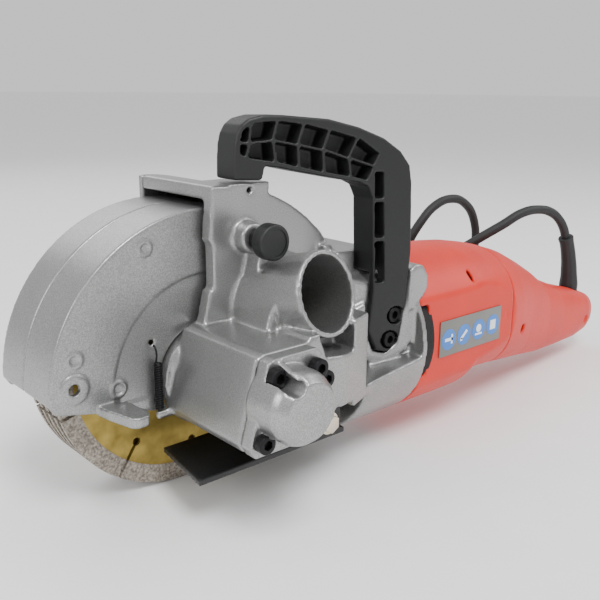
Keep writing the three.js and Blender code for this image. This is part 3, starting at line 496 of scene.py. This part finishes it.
def curve_length(piece):
    """The length of a curve's centre line, in metres."""
    probe = twin(piece)
    probe.data.bevel_depth = 0
    mesh = to_mesh(probe)
    total = sum((mesh.data.vertices[e.vertices[0]].co - mesh.data.vertices[e.vertices[1]].co).length
                for e in mesh.data.edges)
    bpy.data.objects.remove(mesh, do_unlink=True)
    return total


def make_cord():
    """The lead, from the strain relief to the plug."""
    cable = wire("power_cable", CORD_ROUTE + coil_points(), CORD_R, RUBBER, 6)
    return finish(cable, "housing", "cord_rubber", "cord_tube", "cord_coil")


PLUG_HALF_WIDTH = 13
PLUG_HALF_THICK = 7.5
PLUG_LENGTH = 36
PLUG_NECK = 0.6  # the narrow end's share of the full width
PIN_OFFSET = 9.5
PIN_LENGTH = 19


def make_plug():
    """A moulded flat plug with two round pins and a sleeve round the lead."""
    x, _, z = centre_of("plug")
    y = (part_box("plug")[0][1] - ORIGIN.y) / MM + 7.5
    body = block("plug_body", (x - PLUG_HALF_WIDTH, x + PLUG_HALF_WIDTH), (y, y + PLUG_LENGTH),
                 (z - PLUG_HALF_THICK, z + PLUG_HALF_THICK), RUBBER)
    middle = at(x, 0, 0).x
    for vertex in body.data.vertices:
        if vertex.co.y < at(0, y + 5, 0).y:
            vertex.co.x = middle + (vertex.co.x - middle) * PLUG_NECK
    sleeve = cylinder("plug_sleeve", (x, y - 7.4, z), (x, y + 2, z), 4.3, RUBBER, 40, 5.4)
    joined(rounded(body, 3, 3), sleeve)
    cast(body, 0.6, 4)
    body.name = "plug_moulding"
    tip = y + PLUG_LENGTH + PIN_LENGTH
    pins = [cylinder("plug_pin", (pin_x, y + PLUG_LENGTH - 1, z), (pin_x, tip, z), 2, NICKEL, 24)
            for pin_x in (x - PIN_OFFSET, x + PIN_OFFSET)]
    joined(body, *[rounded(pin, 0.5) for pin in pins])
    return finish(body, "housing", "cord_rubber", "plug")


# The strain relief's middle line and, at each point, its radius.
BOOT_ROUTE = [(-338, 26, -21.5), (-337.7, 26, -15), (-337, 26, -8), (-334, 25.6, 8), (-330.6, 25.3, 17.6),
              (-328.7, 25.1, 21.8)]
BOOT_RADII = [6.6, 6.9, 6.1, 5.4, 5.2, 5.7]


def make_boot():
    """The tapered sleeve that holds the cable where it leaves the tail."""
    sleeve = to_mesh(wire("strain_relief", BOOT_ROUTE, 1, RUBBER, 6, BOOT_RADII))
    cast(sleeve, 0.5, 4)
    return finish(sleeve, "housing", "cord_rubber", "cord_boot")


cable = make_cord()
plug = make_plug()
make_boot()
cable_length = curve_length(cable)


# ---------- Gear head castings ----------
CAP_RIBS = (78, 170, 318)  # degrees round the bearing cap
RIB_ROOT, RIB_REACH, RIB_HALF = 14, 19.5, 1.3
CAP_FLANGE_Y, CAP_TOP_Y = 91, 104


def make_casting():
    """The gear head's own shape, with a casting's soft corners."""
    casting = copy_of("gear_housing", "gear_head_casting", SILVER)
    cast(casting, 1.05, 4, 0.7)
    return finish(casting, "housing", "cast_paint", "gear_housing")


def cap_rib(degrees):
    """A rib that runs down the bearing cap's side to its flange."""
    c, s = math.cos(math.radians(degrees)), math.sin(math.radians(degrees))
    points = []
    for half in (RIB_HALF, -RIB_HALF):
        dx, dz = half * s, -half * c
        points += [at(RIB_ROOT * c + dx, CAP_FLANGE_Y, RIB_ROOT * s + dz),
                   at(RIB_REACH * c + dx, CAP_FLANGE_Y, RIB_REACH * s + dz),
                   at(RIB_ROOT * c + dx, CAP_TOP_Y, RIB_ROOT * s + dz)]
    faces = [(0, 1, 2), (5, 4, 3), (0, 3, 4, 1), (1, 4, 5, 2), (2, 5, 3, 0)]
    return mesh_piece("cap_rib", points, faces, SILVER)


def make_bearing_cap():
    """The round cover of the spindle's outer bearing."""
    cap = copy_of("bearing_cover", "bearing_cap", SILVER)
    joined(cap, *[cap_rib(degrees) for degrees in CAP_RIBS])
    cast(cap, 0.65, 4)
    return finish(cap, "housing", "cast_paint", "bearing_cover")


GUARD_CENTRE = (-5.5, -7)
DISH_R = 50
# The round moulder's marks on the near guard half: X, Z and radius.
GUARD_MARKS = ((62, 14, 3.6), (42, -4, 3.8), (26, 58, 3.4))
MARK_WALL = 0.9


def make_guards():
    """The two halves of the swinging guard, the near one with a shallow dish and three marks."""
    near = copy_of("movable_guard_near", "swing_guard_near", SILVER)
    x, z = GUARD_CENTRE
    dish = cylinder("dish", (x, 24.6, z), (x, 27, z), DISH_R, SILVER, 96)
    carve(dish, block("dish_limit", (-90, 90), (20, 30), (-60, -12), SILVER))
    carve(near, dish)
    marks = []
    for x, z, radius in GUARD_MARKS:
        outer = cylinder("mark", (x, 25, z), (x, 25.9, z), radius, SILVER, 40)
        inner = cylinder("mark_inside", (x, 24.9, z), (x, 26.4, z), radius - MARK_WALL, SILVER, 40)
        marks.append(carve(outer, inner))
    joined(near, *marks)
    cast(near, 0.7, 3)
    finish(near, "movable_guard", "cast_paint", "movable_guard_near")
    far = copy_of("movable_guard_far", "swing_guard_far", SILVER)
    cast(far, 0.8, 3)
    finish(far, "movable_guard", "cast_paint", "movable_guard_far")


def make_far_cover():
    """The flat cover of the blade chamber on the right."""
    cover = copy_of("guard_far_cover", "far_cover", SILVER)
    cast(cover, 0.8, 3)
    finish(cover, "housing", "cast_paint", "guard_far_cover")


make_casting()
make_bearing_cap()
make_guards()
make_far_cover()


# ---------- Blades ----------
BLADES = 5
SEGMENTS = 9
FIRST_GAP = 0.4  # of a segment
RIM_R, RIM_BORE_R, RIM_HALF = 66.35, 57.2, 1.15
CORE_R, CORE_BORE_R, CORE_HALF = 57.6, 11.2, 0.8
GAP_FROM, GAP_TO, GAP_R = 48, 70, 0.9
GAP_STRETCH = 4  # the gap's cutter is this much taller than wide, to pass through the blade
KEYHOLE_AT, KEYHOLE_R = 47.5, 2.1
CUT = 3  # half the length of the cutters


def make_blade(index):
    """A steel core with sintered segments; each gap ends in a round keyhole."""
    _, y, _ = centre_of(f"blade_{index}")
    core = cylinder("core", (0, y - CORE_HALF, 0), (0, y + CORE_HALF, 0), CORE_R, CORE, 96)
    rim = cylinder("rim", (0, y - RIM_HALF, 0), (0, y + RIM_HALF, 0), RIM_R, RIM, 128)
    carve(rim, cylinder("rim_bore", (0, y - CUT, 0), (0, y + CUT, 0), RIM_BORE_R, RIM, 96))
    bore = cylinder("core_bore", (0, y - CUT, 0), (0, y + CUT, 0), CORE_BORE_R, CORE, 48)
    gaps, holes = [], []
    for k in range(SEGMENTS):
        angle = -(k + FIRST_GAP) * 2 * math.pi / SEGMENTS
        c, s = math.cos(angle), math.sin(angle)
        gaps.append(cylinder("gap", (GAP_FROM * c, y, GAP_FROM * s), (GAP_TO * c, y, GAP_TO * s),
                             GAP_R, CORE, 12))
        x, z = KEYHOLE_AT * c, KEYHOLE_AT * s
        holes.append(cylinder("keyhole", (x, y - CUT, z), (x, y + CUT, z), KEYHOLE_R, CORE, 20))
    core_gaps = joined(*gaps)
    middle = at(0, y, 0).y
    for vertex in core_gaps.data.vertices:
        vertex.co.y = middle + (vertex.co.y - middle) * GAP_STRETCH
    carve(rim, twin(core_gaps))
    carve(core, bore, core_gaps, joined(*holes))
    joined(smooth(core), smooth(rim))
    core.name = f"diamond_blade_{index}"
    return finish(core, "blade_set", "blade_steel", f"blade_{index}")


for index in range(1, BLADES + 1):
    make_blade(index)


# ---------- Screws ----------
SCREW_R = 4.2
SOCKET_SHARE = 0.56  # of the head's radius
SOCKET_DEPTH = 2.2
SCREWS = ("cover_screw_1", "cover_screw_2", "cover_screw_3", "cover_screw_4", "housing_screw",
          "handle_screw_1", "handle_screw_2")


def socket_screw(name, x, z, y0, y1, radius):
    """A black hexagon-socket cap screw, its head from y0 to y1."""
    head = cylinder(name, (x, y0, z), (x, y1, z), radius, OXIDE, 48)
    rounded(head, 0.5, 3)
    socket = cylinder("hex", (x, y1 - SOCKET_DEPTH, z), (x, y1 + 2, z), radius * SOCKET_SHARE, OXIDE, 6)
    return smooth(carve(head, socket))


def make_screws():
    """The heads of the cover's, the housing's and the handle's screws."""
    for node in SCREWS:
        x, _, z = centre_of(node)
        top = near_side(node)
        height = 3 if "handle" in node else 4.4
        screw = socket_screw(f"cap_{node}", x, z, top - height, top, SCREW_R)
        finish(screw, "housing", "black_steel", node)


make_screws()


# ---------- Lock knob, base plate and spring ----------
def make_knob():
    """The lock pin with its sleeve, and its knob with a shallow dimple."""
    x, _, z = centre_of("lock_knob")
    disc = cylinder("knob_disc", (x, 50.4, z), (x, 58, z), 8.4, BLACK, 64)
    rounded(disc, 1.1, 3)
    dimple = cylinder("dimple", (x, 57.6, z), (x, 59, z), 6.4, BLACK, 64)
    carve(disc, dimple)
    neck = cylinder("knob_neck", (x, 48.2, z), (x, 50.8, z), 4.8, BLACK, 40, 5.6)
    joined(disc, smooth(neck))
    smooth(disc)
    disc.name = "knob_moulding"
    finish(disc, "lock", "black_plastic", "lock_knob")
    stem = cylinder("pin_rod", (x, 28.4, z), (x, 46.8, z), 2.8, STEEL, 32)
    sleeve = cylinder("pin_sleeve", (x, 43.4, z), (x, 48.1, z), 4.4, OXIDE, 40)
    joined(rounded(stem, 0.4), rounded(sleeve, 0.4))
    stem.name = "pin_with_sleeve"
    finish(stem, "lock", "bright_steel", "lock_pin")


def make_base_plate():
    """The bent sole plate and the plated bolt that clamps it."""
    piece = copy_of("base_plate", "sole_plate", SHEET_BLACK)
    cast(piece, 0.6, 3)
    finish(piece, "base_plate", "black_steel", "base_plate")
    x, _, z = centre_of("base_plate_bolt")
    top = near_side("base_plate_bolt")
    flange = cylinder("bolt_flange", (x, top - 4, z), (x, top - 2.6, z), 6, NICKEL, 48)
    hexagon = cylinder("bolt_head", (x, top - 2.7, z), (x, top - 0.2, z), 5, NICKEL, 6)
    joined(rounded(flange, 0.4), rounded(hexagon, 0.5))
    flange.name = "plated_bolt"
    finish(flange, "housing", "nickel_plate", "base_plate_bolt")


SPRING_X, SPRING_Y = 23.4, 28.4
SPRING_R, SPRING_WIRE_R = 1.6, 0.45
SPRING_LOW, SPRING_LENGTH = -17, 22
SPRING_TURNS, SPRING_STEPS = 20, 10  # turns, and points on each


def make_spring():
    """A close-wound tension spring with a hook at each end."""
    x, y = SPRING_X, SPRING_Y
    points = [(x + 1.2, y, -19.4), (x + 0.3, y, -18.2)]
    count = SPRING_TURNS * SPRING_STEPS
    for i in range(count + 1):
        angle = i * 2 * math.pi / SPRING_STEPS
        points.append((x + SPRING_R * math.cos(angle), y + SPRING_R * math.sin(angle),
                       SPRING_LOW + SPRING_LENGTH * i / count))
    points += [(x + 0.8, y, 6.5), (x + 0.6, y, 10.5), (x + 0.6, y - 1.4, 12.6), (x + 0.6, y - 2.4, 13)]
    coil = to_mesh(wire("return_spring", points, SPRING_WIRE_R, OXIDE, 2))
    finish(smooth(coil, 60), "housing", "black_steel", "guard_spring")


make_knob()
make_base_plate()
make_spring()


# ---------- D handle ----------
# The handle stands in its own upright plane, which turns outwards by HANDLE_SKEW towards the back.
HANDLE_FRONT_X = -19
HANDLE_NEAR_Y = 34.6
HANDLE_SKEW = 0.33
HANDLE_LENGTH = math.hypot(1, HANDLE_SKEW)
HANDLE_THICK = 15
# Its outline in that plane, along the handle and up: first the outside, then the hand hole.
HANDLE_OUTER = [(-1.8, 85.5), (-1.6, 95), (-1.2, 101), (0, 106.5), (2.2, 110.4), (5.6, 113), (12, 114.6),
                (23, 114.6), (46, 112.7), (62, 108.8), (76, 103.4), (85.5, 97), (91, 90), (92.5, 82), (94, 46),
                (92, 19), (88.5, -3), (82, -8), (75, -6), (70, 5)]
HANDLE_INNER = [(72, 27), (70.5, 74), (67.8, 80), (63, 82.3), (54.8, 83.7), (30.8, 88.3), (20.6, 90.5),
                (13.5, 91.5), (12, 85)]


def handle_plate(name, outline, depth0, depth1):
    """An outline in the handle's own plane, extruded inwards from depth0 to depth1 behind its near face."""
    along = [(HANDLE_FRONT_X - s / HANDLE_LENGTH, z) for s, z in outline]
    piece = plate(name, along, -depth1, -depth0, BLACK)
    for vertex in piece.data.vertices:
        x = (vertex.co.x - ORIGIN.x) / MM
        vertex.co.y += (HANDLE_NEAR_Y + HANDLE_SKEW * (HANDLE_FRONT_X - x)) * MM
    return piece


# Corners of the pockets' rows in the grip: along the handle and up.
GRIP_TOP = [(1.6, 107.6), (7, 111.6), (19.6, 112.5), (33, 110.9), (46.3, 108), (61.4, 104.2), (74, 96.5)]
GRIP_MID = [(0.8, 102.3), (5.8, 102.1), (17.5, 103.1), (30, 100.9), (43.1, 98.3), (56.9, 94.1), (71, 90)]
GRIP_LOW = [(0.8, 97), (4.4, 95), (18.8, 92.9), (30.6, 90.2), (43.7, 87.4), (58.1, 84.8), (67.5, 82.6)]
GRIP_DEPTH = 9
RIB = 0.65  # half the ribs' thickness
# The leg's pockets: their ends, and their sides as a place and a lean for each millimetre above LEG_Z.
LEG_POCKETS = ((30.5, 52), (54, 72), (74, 87))
LEG_SIDES = ((73.2, 0.035), (78.6, 0.04))
LEG_Z = 30
LEG_DEPTH = 8
CLEAR = -2  # a cutter starts this far outside the near face
LEG_BORES = ((-101, 12), (-98, -1))
LEG_BORE_R = 4.9


def pocket(upper, lower, depth):
    """A cutter for a pocket between two rows of corners, with half a rib left on each side."""
    (s0, z0), (s1, z1) = upper
    (s2, z2), (s3, z3) = lower
    return handle_plate("pocket", [(s2 + RIB, z2 + RIB), (s3 - RIB, z3 + RIB), (s1 - RIB, z1 - RIB),
                                   (s0 + RIB, z0 - RIB)], CLEAR, depth)


def leg_pocket(z0, z1):
    """A cutter for a pocket in the leg, which leans forward as it rises."""
    (front, front_lean), (back, back_lean) = LEG_SIDES
    rise0, rise1 = z0 - LEG_Z, z1 - LEG_Z
    return handle_plate("leg_pocket", [
        (front - rise0 * front_lean, z0), (back - rise0 * back_lean, z0),
        (back - rise1 * back_lean, z1), (front - rise1 * front_lean, z1),
    ], CLEAR, LEG_DEPTH)


def make_handle():
    """The D handle: a thick plate with two rows of pockets in its grip and one in its leg."""
    handle = handle_plate("d_handle_moulding", HANDLE_OUTER + HANDLE_INNER, 0, HANDLE_THICK)
    rounded(handle, 1.1, 3, 50)
    cutters = []
    for i in range(len(GRIP_TOP) - 1):
        cutters.append(pocket(GRIP_TOP[i:i + 2], GRIP_MID[i:i + 2], GRIP_DEPTH))
        cutters.append(pocket(GRIP_MID[i:i + 2], GRIP_LOW[i:i + 2], GRIP_DEPTH))
    cutters += [leg_pocket(z0, z1) for z0, z1 in LEG_POCKETS]
    cutters.append(block("leg_thin", (-130, -70), (20, 54), (-30, 36), BLACK))
    cutters += [cylinder("bore", (x, 57.5, z), (x, 90, z), LEG_BORE_R, BLACK, 40) for x, z in LEG_BORES]
    carve(handle, *cutters)
    cast(handle, 0.6, 2, 0.7)
    return finish(handle, "housing", "black_plastic", "d_handle")


make_handle()


# ---------- Motor housing and tail ----------
MOTOR_Y = 26
MOTOR_FRONT_X = -116.3
TAIL_X = -205
TAIL_END_X = -364.5
FLAT_Y = 65  # the flat on the left side, for the label
FLAT_END_X = -212
# Sections of the shell: X, top, bottom, half width and squareness.
SECTIONS = [
    (MOTOR_FRONT_X, 39, -53, 46, 2), (-150, 38.5, -53, 46, 2), (-166, 38, -52, 45.5, 2.1),
    (-173, 37.5, -46, 45, 2.2), (-188, 36, -45, 43, 2.3), (TAIL_X, 33, -46, 40, 2.4),
    (-222, 28, -48, 36, 2.5), (-240, 20, -50, 31, 2.6), (-258, 11, -52, 27, 2.7), (-275, 1, -54, 23.5, 2.8),
    (-300, -8, -55, 20, 2.8), (-330, -16, -55, 17, 2.8), (-345, -20.5, -53, 15.3, 2.6),
    (-355, -24, -50.5, 11.8, 2.4), (-361, -28, -47, 8, 2.3), (TAIL_END_X, -33, -42, 3, 2.2),
]


def section_at(x):
    """Top, bottom, half width and squareness of the shell at X."""
    for first, second in zip(SECTIONS, SECTIONS[1:]):
        if second[0] <= x <= first[0]:
            t = (first[0] - x) / (first[0] - second[0])
            return [a + (b - a) * t for a, b in zip(first[1:], second[1:])]
    return list(SECTIONS[-1][1:])


def shell_body(name, x0, x1, shrink, rings, sides=96):
    """A lofted length of the shell between two X positions."""
    vertices, faces = [], []
    for i in range(rings + 1):
        x = x0 + (x1 - x0) * i / rings
        top, bottom, half, power = section_at(x)
        a, b = half - shrink, (top - bottom) / 2 - shrink
        for k in range(sides):
            angle = 2 * math.pi * k / sides
            c, s = math.cos(angle), math.sin(angle)
            y = MOTOR_Y + a * math.copysign(abs(c) ** (2 / power), c)
            z = (top + bottom) / 2 + b * math.copysign(abs(s) ** (2 / power), s)
            vertices.append(at(x, min(y, FLAT_Y - shrink) if x > FLAT_END_X else y, z))
    for i in range(rings):
        for k in range(sides):
            n = (k + 1) % sides
            faces.append((i * sides + k, i * sides + n, (i + 1) * sides + n, (i + 1) * sides + k))
    faces.append(list(range(sides)))
    faces.append([rings * sides + k for k in reversed(range(sides))])
    return faces_out(mesh_piece(name, vertices, faces, RED))


WALL = 2.6
GUIDE_Z = -7
GUIDE_X = (-117, -126)
GUIDE_R, GUIDE_BORE_R = 42, 36


def make_motor_housing():
    """The motor's red shell, hollow, with a gap at its front and two slits; a dark air guide ring inside
    stands in as painted shade behind the gap.
    """
    shell = shell_body("motor_shell", MOTOR_FRONT_X, TAIL_X, 0, 60)
    carve(
        shell,
        shell_body("inside", -100, -199, WALL, 40),
        block("gap", (-124, -110), (57, 80), (-26, 14), RED),
        block("slit", (-166.5, -164.5), (40, 70), (20, 26), RED),
        block("slit", (-199.5, -197.5), (60, 70), (-7, -3), RED),
    )
    cast(shell, 0.9, 6, 0.9)
    finish(shell, "housing", "red_plastic", "motor_housing")
    # A dull black ring behind the gap: painted shade, so that the gap reads as a hollow.
    front, back = GUIDE_X
    guide = cylinder("air_guide_ring_as_painted_shade", (front, MOTOR_Y, GUIDE_Z), (back, MOTOR_Y, GUIDE_Z), GUIDE_R, PAINTED_SHADE_BLACK, 96)
    carve(guide, cylinder("guide_bore", (front + 7, MOTOR_Y, GUIDE_Z), (back - 4, MOTOR_Y, GUIDE_Z),
                          GUIDE_BORE_R, PAINTED_SHADE_BLACK, 96))
    smooth(guide)
    finish(guide, "housing", "black_plastic")


SEAM = 0.3  # half the gap between the tail's halves, and the step behind the motor shell
VENTS = ((-228, 18), (-238, 13), (-248, 8))  # X and lower edge
VENT_HALF_WIDTH, VENT_HALF_LENGTH, VENT_HEIGHT = 1.4, 14, 40
TAIL_BORES = ((-224, -20), (-340, -40))
TAIL_BORE_R = 3.2
BOOT_HOLE_R = 6.6


def make_tail():
    """The tail's two red halves, with vents over the switch and a hole for the strain relief."""
    tail = shell_body("tail", TAIL_X - SEAM, TAIL_END_X, 0, 110)
    cutters = [block("vent", (x - VENT_HALF_WIDTH, x + VENT_HALF_WIDTH),
                     (MOTOR_Y - VENT_HALF_LENGTH, MOTOR_Y + VENT_HALF_LENGTH), (z, z + VENT_HEIGHT), RED)
               for x, z in VENTS]
    cutters += [cylinder("tail_bore", (x, 40, z), (x, 90, z), TAIL_BORE_R, RED, 32) for x, z in TAIL_BORES]
    cutters.append(cylinder("boot_hole", (-338, 26, -40), (-338, 26, 0), BOOT_HOLE_R, RED, 40))
    cutters.append(block("switch_slot", (-232, -204.5), (-22, 4), (-7, 7), RED))
    carve(tail, *cutters)
    other = twin(tail)
    carve(tail, block("right_side", (-400, -190), (-60, MOTOR_Y + SEAM), (-90, 90), RED))
    carve(other, block("left_side", (-400, -190), (MOTOR_Y - SEAM, 100), (-90, 90), RED))
    cast(tail, 0.8, 4)
    cast(other, 0.8, 4)
    tail.name, other.name = "tail_left_moulding", "tail_right_moulding"
    finish(tail, "housing", "red_plastic", "tail_handle_left")
    finish(other, "housing", "red_plastic", "tail_handle_right")


make_motor_housing()
make_tail()


# ---------- Label ----------
LABEL_X, LABEL_Z = (-191, -134), (-18.5, 2.5)
SIGN_R = 6.1
SIGN_X, SIGN_Z = -141.5, -8.4  # the first sign, and the middle height of the row
SIGN_STEP, SIGN_RISE = 13.8, 0.3
INK = 0.2  # the white shapes stand this proud
# White bars of each sign: their span in X and in Z from the sign's middle, and their turn in degrees.
SIGN_BARS = (
    (((-3.4, 3.4), (-0.9, 0.9), 0), ((-3.4, -2), (-2.8, 2.8), 0)),
    (((-3.4, 3.4), (-0.9, 0.9), 40), ((1.4, 3.2), (-3.4, -1.6), 0)),
    (((-3.2, 3.2), (-3.2, -2), 0),),
    (((-2.6, 2.6), (-2.8, 3), 0),),
)
DOT_SIGN, DOT_R, DOT_RISE = 2, 2.4, 0.8  # the sign with a round dot, the dot's radius and its height


def make_label():
    """A grey plate with four blue discs, each with a plain white sign."""
    face = FLAT_Y + 0.8
    film = block("label", LABEL_X, (FLAT_Y + 0.1, face), LABEL_Z, LABEL)
    rounded(film, 0.35, 2)
    signs = []
    for i, bars in enumerate(SIGN_BARS):
        x = SIGN_X - i * SIGN_STEP
        z = SIGN_Z + (i - 1.5) * SIGN_RISE
        signs.append(cylinder("disc", (x, face - 0.1, z), (x, face + 0.12, z), SIGN_R, SIGN_BLUE, 48))
        if i == DOT_SIGN:
            signs.append(cylinder("dot", (x, face, z + DOT_RISE), (x, face + INK, z + DOT_RISE), DOT_R,
                                  SIGN_WHITE, 32))
        for (x0, x1), (z0, z1), turn in bars:
            signs.append(block("bar", (x + x0, x + x1), (face, face + INK), (z + z0, z + z1), SIGN_WHITE,
                               (0, math.radians(turn), 0)))
    joined(film, *signs)
    film.name = "generic_label"
    finish(film, "housing", "label_grey", "label_plate")


make_label()


# ---------- CAD nodes that stay ----------
STAYING = (
    ("spindle inner_flange blade_spacer_1 blade_spacer_2 blade_spacer_3 blade_spacer_4 bevel_gear "
     "bevel_pinion spindle_bearing_inner spindle_bearing_outer armature_front_bearing "
     "armature_rear_bearing armature_shaft stator_core guard_screw_1 guard_screw_2", STEEL),
    ("clamp_nut far_cover_screw_1 far_cover_screw_2 far_cover_screw_3", OXIDE),
    ("armature_core commutator carbon_brush_1 carbon_brush_2", COPPER),
    ("cooling_fan switch_slider switch_block", BLACK),
)
for names, material in STAYING:
    for node in names.split():
        paint(node, material)


# ---------- Floor and light ----------
FLOOR_SIZE = 60  # metres, so that its edge is far behind
SKY_STRENGTH = 0.85
LIGHT_AIM = Vector((0, 0, 0.08))
# Soft square lamps: name, place and side in metres, power in watts.
LIGHTS = (
    ("key", (0.35, 0.7, 1.2), 0.5, 16),
    ("fill", (1.3, -0.1, 0.7), 0.5, 6),
    ("rim", (-0.9, 0.5, 0.9), 0.6, 5),
    ("back", (0.0, -1.2, 1.0), 0.9, 5),
)


def make_floor():
    """A matte white floor with hardly visible cloud."""
    bpy.ops.object.select_all(action="DESELECT")
    bpy.ops.mesh.primitive_plane_add(size=FLOOR_SIZE, location=(0, 0, FLOOR))
    material, shader = new_material("matte_white_floor", "f4f4f4", 0.9)
    paper = grain(material, 30)
    tone = ramp(material, paper.outputs["Fac"], 0.2, 0.8, linear("f2f2f2"), linear("f6f6f6"))
    link(material, tone.outputs["Color"], shader.inputs["Base Color"])
    floor = named("floor", material)


def make_lights():
    """A white sky and four soft lamps that look at the tool."""
    world = bpy.data.worlds.new("studio")
    world.use_nodes = True
    background = world.node_tree.nodes["Background"]
    background.inputs["Color"].default_value = (1, 1, 1, 1)
    background.inputs["Strength"].default_value = SKY_STRENGTH
    bpy.context.scene.world = world
    for name, place, size, power in LIGHTS:
        light = bpy.data.lights.new(name, "AREA")
        light.size = size
        light.energy = power
        lamp = bpy.data.objects.new(name, light)
        bpy.context.collection.objects.link(lamp)
        turn = (LIGHT_AIM - Vector(place)).to_track_quat("-Z", "Y").to_matrix().to_4x4()
        lamp.matrix_world = Matrix.Translation(place) @ turn


make_floor()
make_lights()
